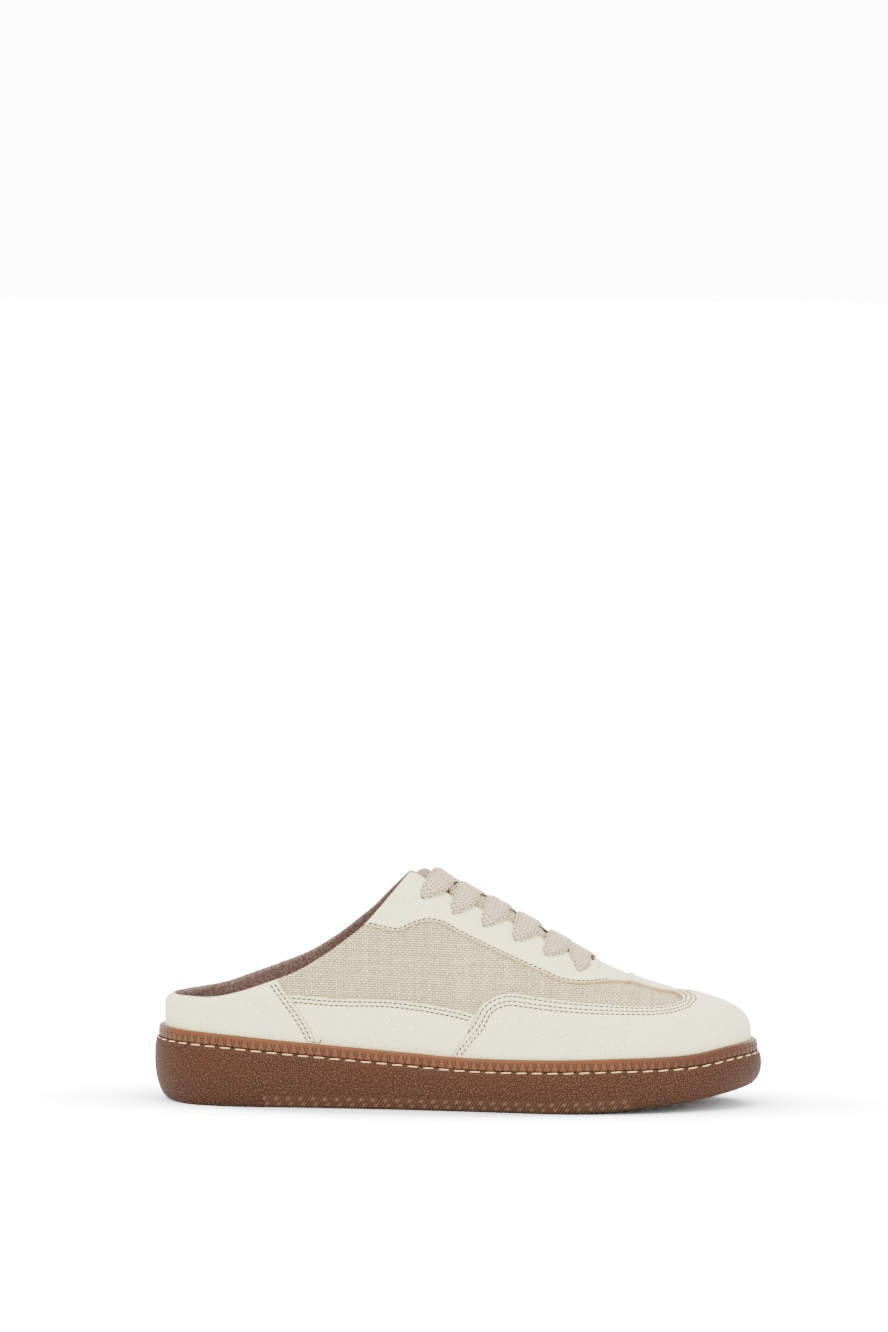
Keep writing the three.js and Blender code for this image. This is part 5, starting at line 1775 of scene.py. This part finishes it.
    def tread(self) -> None:
        """Flat underside with straight flex grooves under heel and forefoot."""
        last = self.last
        grooves = np.concatenate([np.arange(-112.0, -56.0, 13.0), np.arange(5.6, 84.0, 13.0)])
        marks = np.concatenate([grooves + shift for shift in (-1.7, -1.5, -1.1, 1.1, 1.5, 1.7)])
        x = np.unique(np.concatenate([-140.0 * np.cos(np.linspace(0, np.pi, 160)), marks]))
        x = x[(x > -139.9) & (x < 139.9)]
        sides = []
        for side in (OUTER, INNER):
            edge, normal = last.around(last.share_at(side, x))
            sides.append(edge - normal * 5.9)
        outer, inner = sides
        across = np.concatenate([np.linspace(0, 0.12, 4)[:-1], np.linspace(0.12, 0.88, 14),
                                 np.linspace(0.88, 1, 4)[1:]])
        plan = outer[:, None] * (1 - across)[None, :, None] + inner[:, None] * across[None, :, None]
        away = np.abs(plan[..., 0][..., None] - grooves).min(axis=-1)
        margin = np.minimum(across, 1 - across)[None] * np.abs(inner - outer)[:, 1:2]
        deep = (1 - smoothstep(1.1, 1.5, away)) * smoothstep(9.0, 11.0, margin)
        height = last.underside(x)[:, None] + 1.6 * deep
        points = np.concatenate([plan, height[..., None]], axis=-1)
        rows, ring = height.shape
        grid = np.arange(rows * ring).reshape(rows, ring)
        a, b = grid[:-1], grid[1:]
        faces = np.stack([a[:, :-1], a[:, 1:], b[:, 1:], b[:, :-1]], axis=-1).reshape(-1, 4)
        uv = points.reshape(-1, 3)[:, :2]
        self.shop.piece("sole_tread", points.reshape(-1, 3), faces, ("gum_wall",), uv=uv)

    def insole(self) -> None:
        """Terry footbed with a shallow heel cup, lying in the sole."""
        count = self.insole_columns
        share = np.arange(count) / count
        edge, _ = self.last.around(share)
        x = edge[:, 0]
        base = self.last.platform(x) + 0.3
        cup = 2.5 * (1 - PLATFORM.read("drop", x / self.last.length))
        rings = [(9.3, base), (9.3, base + 3.2 + cup), (9.7, base + 3.8 + cup),
                 (10.4, base + 4.0 + cup)]
        for s in np.linspace(0, 1, 9)[1:]:
            rings.append((10.4 + 24.0 * s, base + 4.0 + cup * (1 - s) ** 2))
        points, _ = self.ring_points(share, rings)
        strip = np.arange(count // 2)
        lid = np.stack([strip, strip + 1, (count - strip - 1) % count, (count - strip) % count], 1)
        faces = np.concatenate([self.ring_faces(count, len(rings)),
                                lid + (len(rings) - 1) * count, lid[:, ::-1]])
        self.shop.piece("insole_terry", points, faces, ("terry",), nodes=("insole",))

    def build(self) -> None:
        """Makes all pieces of the sole."""
        self.wall()
        self.band_ring()
        self.stitches()
        self.tread()
        self.insole()


@dataclass
class Lacing:
    """Flat cotton lace: a straight bar at the bottom, then crossings up to the top holes."""

    skin: Skin
    shop: Workshop
    half_width: float = 5.6
    thickness: float = 1.5
    yarn_column: float = 1.87
    yarn_pitch: float = 1.9
    yarn_relief: float = 0.36
    samples: int = 150
    sweep: float = 3.4
    bar_sweep: float = 2.4
    hidden_depth: float = 2.2
    over_height: float = 2.2
    dive_depth: float = 3.6
    bar_height: float = 2.1
    bar_dive: float = 3.2

    def surface(self, station: Array, share: Array) -> tuple[Array, Array]:
        """Points and normals of the bare upper at shares of the half width; negative is outer."""
        last = self.skin.last
        power = FULLNESS.read("arch", station / last.length) / 2
        angle = np.arccos(np.clip(np.abs(share), 0, 1) ** power)
        place = np.where(share < 0, last.share_at(OUTER, station), last.share_at(INNER, station))
        point = last.arch(place, angle)
        normal = last.arch_normal(place, angle)
        return point, normal

    def eased(self, spine: Array) -> Array:
        """The spine with its sharpest turns rounded by a running mean."""
        mean = np.ones(11) / 11
        return np.stack([np.convolve(np.pad(c, 5, mode="edge"), mean, "valid") for c in spine.T],
                        axis=1)

    def ribbon(self, spine: Array, up: Array, width: Array,
               thick: Array, seed: int) -> tuple[Array, Array, Array]:
        """Flat woven ribbon swept along a spine.

        The cross-section is an ellipse raised to a boxier power. The yarns stand up from it in
        columns along the lace whose short slanted turns lean left and right by turns, as
        herringbone does: a sine along the run, shifted across each column.

        Args:
            spine: points of the middle line.
            up: direction of the ribbon's face at each.
            width: half width at each.
            thick: half thickness at each.
            seed: shifts the small unevenness.

        Returns:
            Points, faces and how far the yarn stands up at each point.
        """
        along = unit(np.gradient(spine, axis=0))
        side = unit(np.cross(up, along))
        face = unit(np.cross(along, side))
        turn = np.linspace(0, 2 * np.pi, 56, endpoint=False)
        c, s = np.cos(turn), np.sin(turn)
        flat = np.sign(c) * np.abs(c) ** 0.75
        tall = np.sign(s) * np.abs(s) ** 0.85
        run = run_along(spine)
        column = flat * self.half_width / self.yarn_column + 0.5
        lean = np.where(np.floor(column) % 2 == 0, 1.0, -1.0)
        part = column - np.floor(column)
        phase = run[:, None] / self.yarn_pitch + lean * part * 0.9 + seed * 0.37
        yarn = (0.5 + 0.5 * np.sin(2 * np.pi * phase)) * np.sin(np.pi * part) ** 0.5
        uneven = 0.12 * np.sin(run * 0.9 + seed * 2.1) + 0.07 * np.sin(run * 2.3 + seed)
        wave = 1 + 0.05 * (yarn - 0.5) * (np.abs(c) > 0.6) + 0.3 * uneven[:, None] * np.sign(c)
        stand = thick[:, None] * tall + np.sign(tall) * self.yarn_relief * (yarn - 0.4)
        points = (spine[:, None] + side[:, None] * (width[:, None] * flat * wave)[..., None]
                  + face[:, None] * stand[..., None])
        return points.reshape(-1, 3), sleeve_faces(*points.shape[:2]), yarn.reshape(-1)

    def strand(self, start: tuple[float, float], end: tuple[float, float], rise: float,
               seed: int) -> tuple[Array, Array, Array]:
        """One lace length from under one facing, over the tongue and down into a hole.

        Args:
            start: station and share of the half width where it comes out from under leather.
            end: station and share of the hole that it enters.
            rise: extra height over the middle, which lets one strand cross another.
            seed: shifts the small unevenness.

        Returns:
            Points, faces and how far the yarn stands up at each point.
        """
        t = np.linspace(0, 1, self.samples)
        station = start[0] + (end[0] - start[0]) * t
        share = start[1] + (end[1] - start[1]) * t
        station = station - self.sweep * np.sin(np.pi * t) ** 2
        station = station + 1.3 * np.sin(np.pi * smoothstep(0.55, 1.0, t)) ** 0.8
        point, normal = self.surface(station, share)
        hidden = 1 - smoothstep(0.13, 0.27, t)
        over = smoothstep(0.25, 0.6, t)
        dive = smoothstep(0.955, 1.0, t)
        middle = 0.4 + rise * np.exp(-(((t - 0.46) / 0.17) ** 2))
        height = -self.hidden_depth * hidden + middle * (1 - hidden)
        height = height + self.over_height * over - self.dive_depth * dive
        spine = self.eased(point + normal * height[:, None])
        pinch = smoothstep(0.74, 1.0, t)
        width = self.half_width * (1 - 0.47 * pinch**1.8) * (1 - 0.3 * hidden)
        thick = self.thickness / 2 * (1 + 0.9 * pinch)
        return self.ribbon(spine, normal, width, thick, seed)

    def build(self) -> None:
        """Makes the bar and all crossings."""
        self.tie("lace_bar_cotton", "lace_bar", [self.bar()])
        for level, lean in enumerate(LACE_LEAN, 1):
            start, high = HOLE_STATIONS[level - 1] + lean, HOLE_STATIONS[level]
            runs = (((start, -HOLE_SHARE * 0.92), (high, HOLE_SHARE), -1.1),
                    ((start, HOLE_SHARE * 0.92), (high, -HOLE_SHARE), -0.1))
            self.tie(f"lace_crossing_cotton_{level}", f"lace_crossing_{level}",
                     [self.strand(*run, seed=index * 3 + int(abs(high)))
                      for index, run in enumerate(runs)])

    def tie(self, name: str, node: str, made: list[tuple]) -> None:
        """One lace piece out of its runs.

        Args:
            name: name of the piece.
            node: CAD node that it replaces.
            made: points, faces and yarn height of each run.
        """
        points, faces = merged([(points, faces) for points, faces, _ in made])
        self.shop.piece(name, points, faces, ("lace",), nodes=(node,),
                        marks={"yarn": np.concatenate([yarn for _, _, yarn in made])})

    def bar(self) -> tuple[Array, Array, Array]:
        """The straight bar: over the throat between the two lowest holes, down into both."""
        t = np.linspace(0, 1, self.samples)
        share = HOLE_SHARE * (2 * t - 1)
        station = HOLE_STATIONS[0] - self.bar_sweep * np.sin(np.pi * t) ** 2
        point, normal = self.surface(station, share)
        dive = 1 - smoothstep(0.0, 0.05, t) + smoothstep(0.95, 1.0, t)
        height = self.bar_height - self.bar_dive * dive
        pinch = 1 - smoothstep(0.02, 0.20, t) + smoothstep(0.80, 0.98, t)
        spine = self.eased(point + normal * height[:, None])
        return self.ribbon(spine, normal, self.half_width * (1 - 0.5 * pinch),
                           self.thickness / 2 * (1 + 0.7 * pinch), 5)


class Studio:
    """Camera, light and floor."""

    CAMERA_AZIMUTH = 6.0
    CAMERA_ELEVATION = 6.5
    CAMERA_DISTANCE = 6.0
    FRAME_HEIGHT = 0.6120
    SENSOR = 36.0
    LOOK_AT = (0.0, 0.0, 0.053)
    SHIFT = (-0.0101, 0.2403)
    LIGHTS = (
        ("key", (-0.9, -1.6, 1.7), 1.6, 70.0),
        ("fill", (1.6, -1.2, 0.9), 1.6, 32.0),
        ("top", (0.1, 0.2, 2.0), 2.2, 60.0),
        ("back", (0.2, 1.8, 1.0), 1.6, 28.0),
    )
    WORLD_GLOW = 2.0
    BACKDROP_GLOW = 16.3
    FLOOR_GLOW = 14.0
    FLOOR_HALF = 6.0

    def build(self) -> None:
        """Places the camera, the lights, the world and the pale floor."""
        self.camera()
        for name, place, size, power in self.LIGHTS:
            self.light(name, place, size, power)
        self.world()
        self.floor()

    def camera(self) -> None:
        """A long lens far off, a little above and ahead of the shoe's side."""
        scene = bpy.context.scene
        camera = bpy.data.cameras.new("camera")
        camera.sensor_width = self.SENSOR
        camera.lens = self.SENSOR * self.CAMERA_DISTANCE / self.FRAME_HEIGHT
        camera.shift_x, camera.shift_y = self.SHIFT
        camera.clip_start, camera.clip_end = 0.1, 50
        view = bpy.data.objects.new("camera", camera)
        scene.collection.objects.link(view)
        scene.camera = view
        a, e = math.radians(self.CAMERA_AZIMUTH), math.radians(self.CAMERA_ELEVATION)
        back = np.array([math.sin(a) * math.cos(e), -math.cos(a) * math.cos(e), math.sin(e)])
        spot = np.array(self.LOOK_AT) + back * self.CAMERA_DISTANCE
        view.location = spot
        view.rotation_euler = Vector(-back).to_track_quat("-Z", "Y").to_euler()

    def world(self) -> None:
        """White light from all round, and a brighter white that only the camera sees."""
        world = bpy.data.worlds.new("world")
        bpy.context.scene.world = world
        world.use_nodes = True
        tree = world.node_tree
        glow = tree.nodes["Background"]
        glow.inputs[0].default_value = (1, 1, 1, 1)
        glow.inputs[1].default_value = self.WORLD_GLOW
        backdrop = tree.nodes.new("ShaderNodeBackground")
        backdrop.inputs[1].default_value = self.BACKDROP_GLOW
        path = tree.nodes.new("ShaderNodeLightPath")
        blend = tree.nodes.new("ShaderNodeMixShader")
        tree.links.new(path.outputs["Is Camera Ray"], blend.inputs[0])
        tree.links.new(glow.outputs[0], blend.inputs[1])
        tree.links.new(backdrop.outputs[0], blend.inputs[2])
        tree.links.new(blend.outputs[0], tree.nodes["World Output"].inputs[0])

    def floor(self) -> None:
        """White floor that takes the shoe's shadow and melts into the backdrop away from it."""
        mesh = bpy.data.meshes.new("floor")
        size = self.FLOOR_HALF
        corners = [(-size, -size, 0), (size, -size, 0), (size, size, 0), (-size, size, 0)]
        mesh.from_pydata(corners, [], [(0, 1, 2, 3)])
        floor = bpy.data.objects.new("floor", mesh)
        bpy.context.scene.collection.objects.link(floor)
        white = bpy.data.materials.new("floor_white")
        white.use_nodes = True
        shader = white.node_tree.nodes["Principled BSDF"]
        shader.inputs["Base Color"].default_value = (0.95, 0.95, 0.95, 1)
        shader.inputs["Roughness"].default_value = 0.9
        shader.inputs["Specular IOR Level"].default_value = 0.0
        n = Nodes(white.node_tree)
        place = n.add("TexCoord").outputs["Object"]
        scaled = n.add("VectorMath", operation="MULTIPLY")
        n.link(place, scaled.inputs[0])
        scaled.inputs[1].default_value = (1 / 0.150, 1 / 0.062, 0.0)
        away = n.add("VectorMath", operation="LENGTH")
        n.link(scaled.outputs[0], away.inputs[0])
        near = n.ramp(n.math("DIVIDE", away.outputs["Value"], 4.0), (0.22, 0.0), (0.36, 1.0))
        seen = n.add("LightPath").outputs["Is Camera Ray"]
        n.link(n.math("MULTIPLY", n.math("MULTIPLY", near, seen), self.FLOOR_GLOW),
               shader.inputs["Emission Strength"])
        shader.inputs["Emission Color"].default_value = (1, 1, 1, 1)
        mesh.materials.append(white)
        floor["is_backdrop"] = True

    def light(self, name: str, place: tuple[float, float, float], size: float,
              power: float) -> None:
        """A square area light that faces the shoe."""
        lamp = bpy.data.lights.new(name, "AREA")
        lamp.size, lamp.energy = size, power
        holder = bpy.data.objects.new(name, lamp)
        holder.location = place
        aim = Vector((0, 0, 0.05)) - Vector(place)
        holder.rotation_euler = aim.to_track_quat("-Z", "Y").to_euler()
        bpy.context.scene.collection.objects.link(holder)


def write_size(before: tuple, after: tuple) -> None:
    """Puts the frame's bounds before and after dressing in a table that is not kept."""
    plain = lambda pair: [[float(v) for v in corner] for corner in pair]
    {"load": plain(before), "finish": plain(after)}


def main() -> None:
    """Builds the shoe on the frame, piece by piece."""
    logging.basicConfig(level=logging.INFO, format="%(message)s")
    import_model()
    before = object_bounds()
    last = Last()
    palette = Palette()
    shop = Workshop(last.centre, palette)
    skin = Skin(last)
    LOG.info("skin: %d faces", len(skin.patch.faces))
    Sole(last, shop).build()
    Upper(skin, shop).build()
    Lacing(skin, shop).build()
    Studio().build()
    write_size(before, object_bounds())


if __name__ == "__main__":
    main()
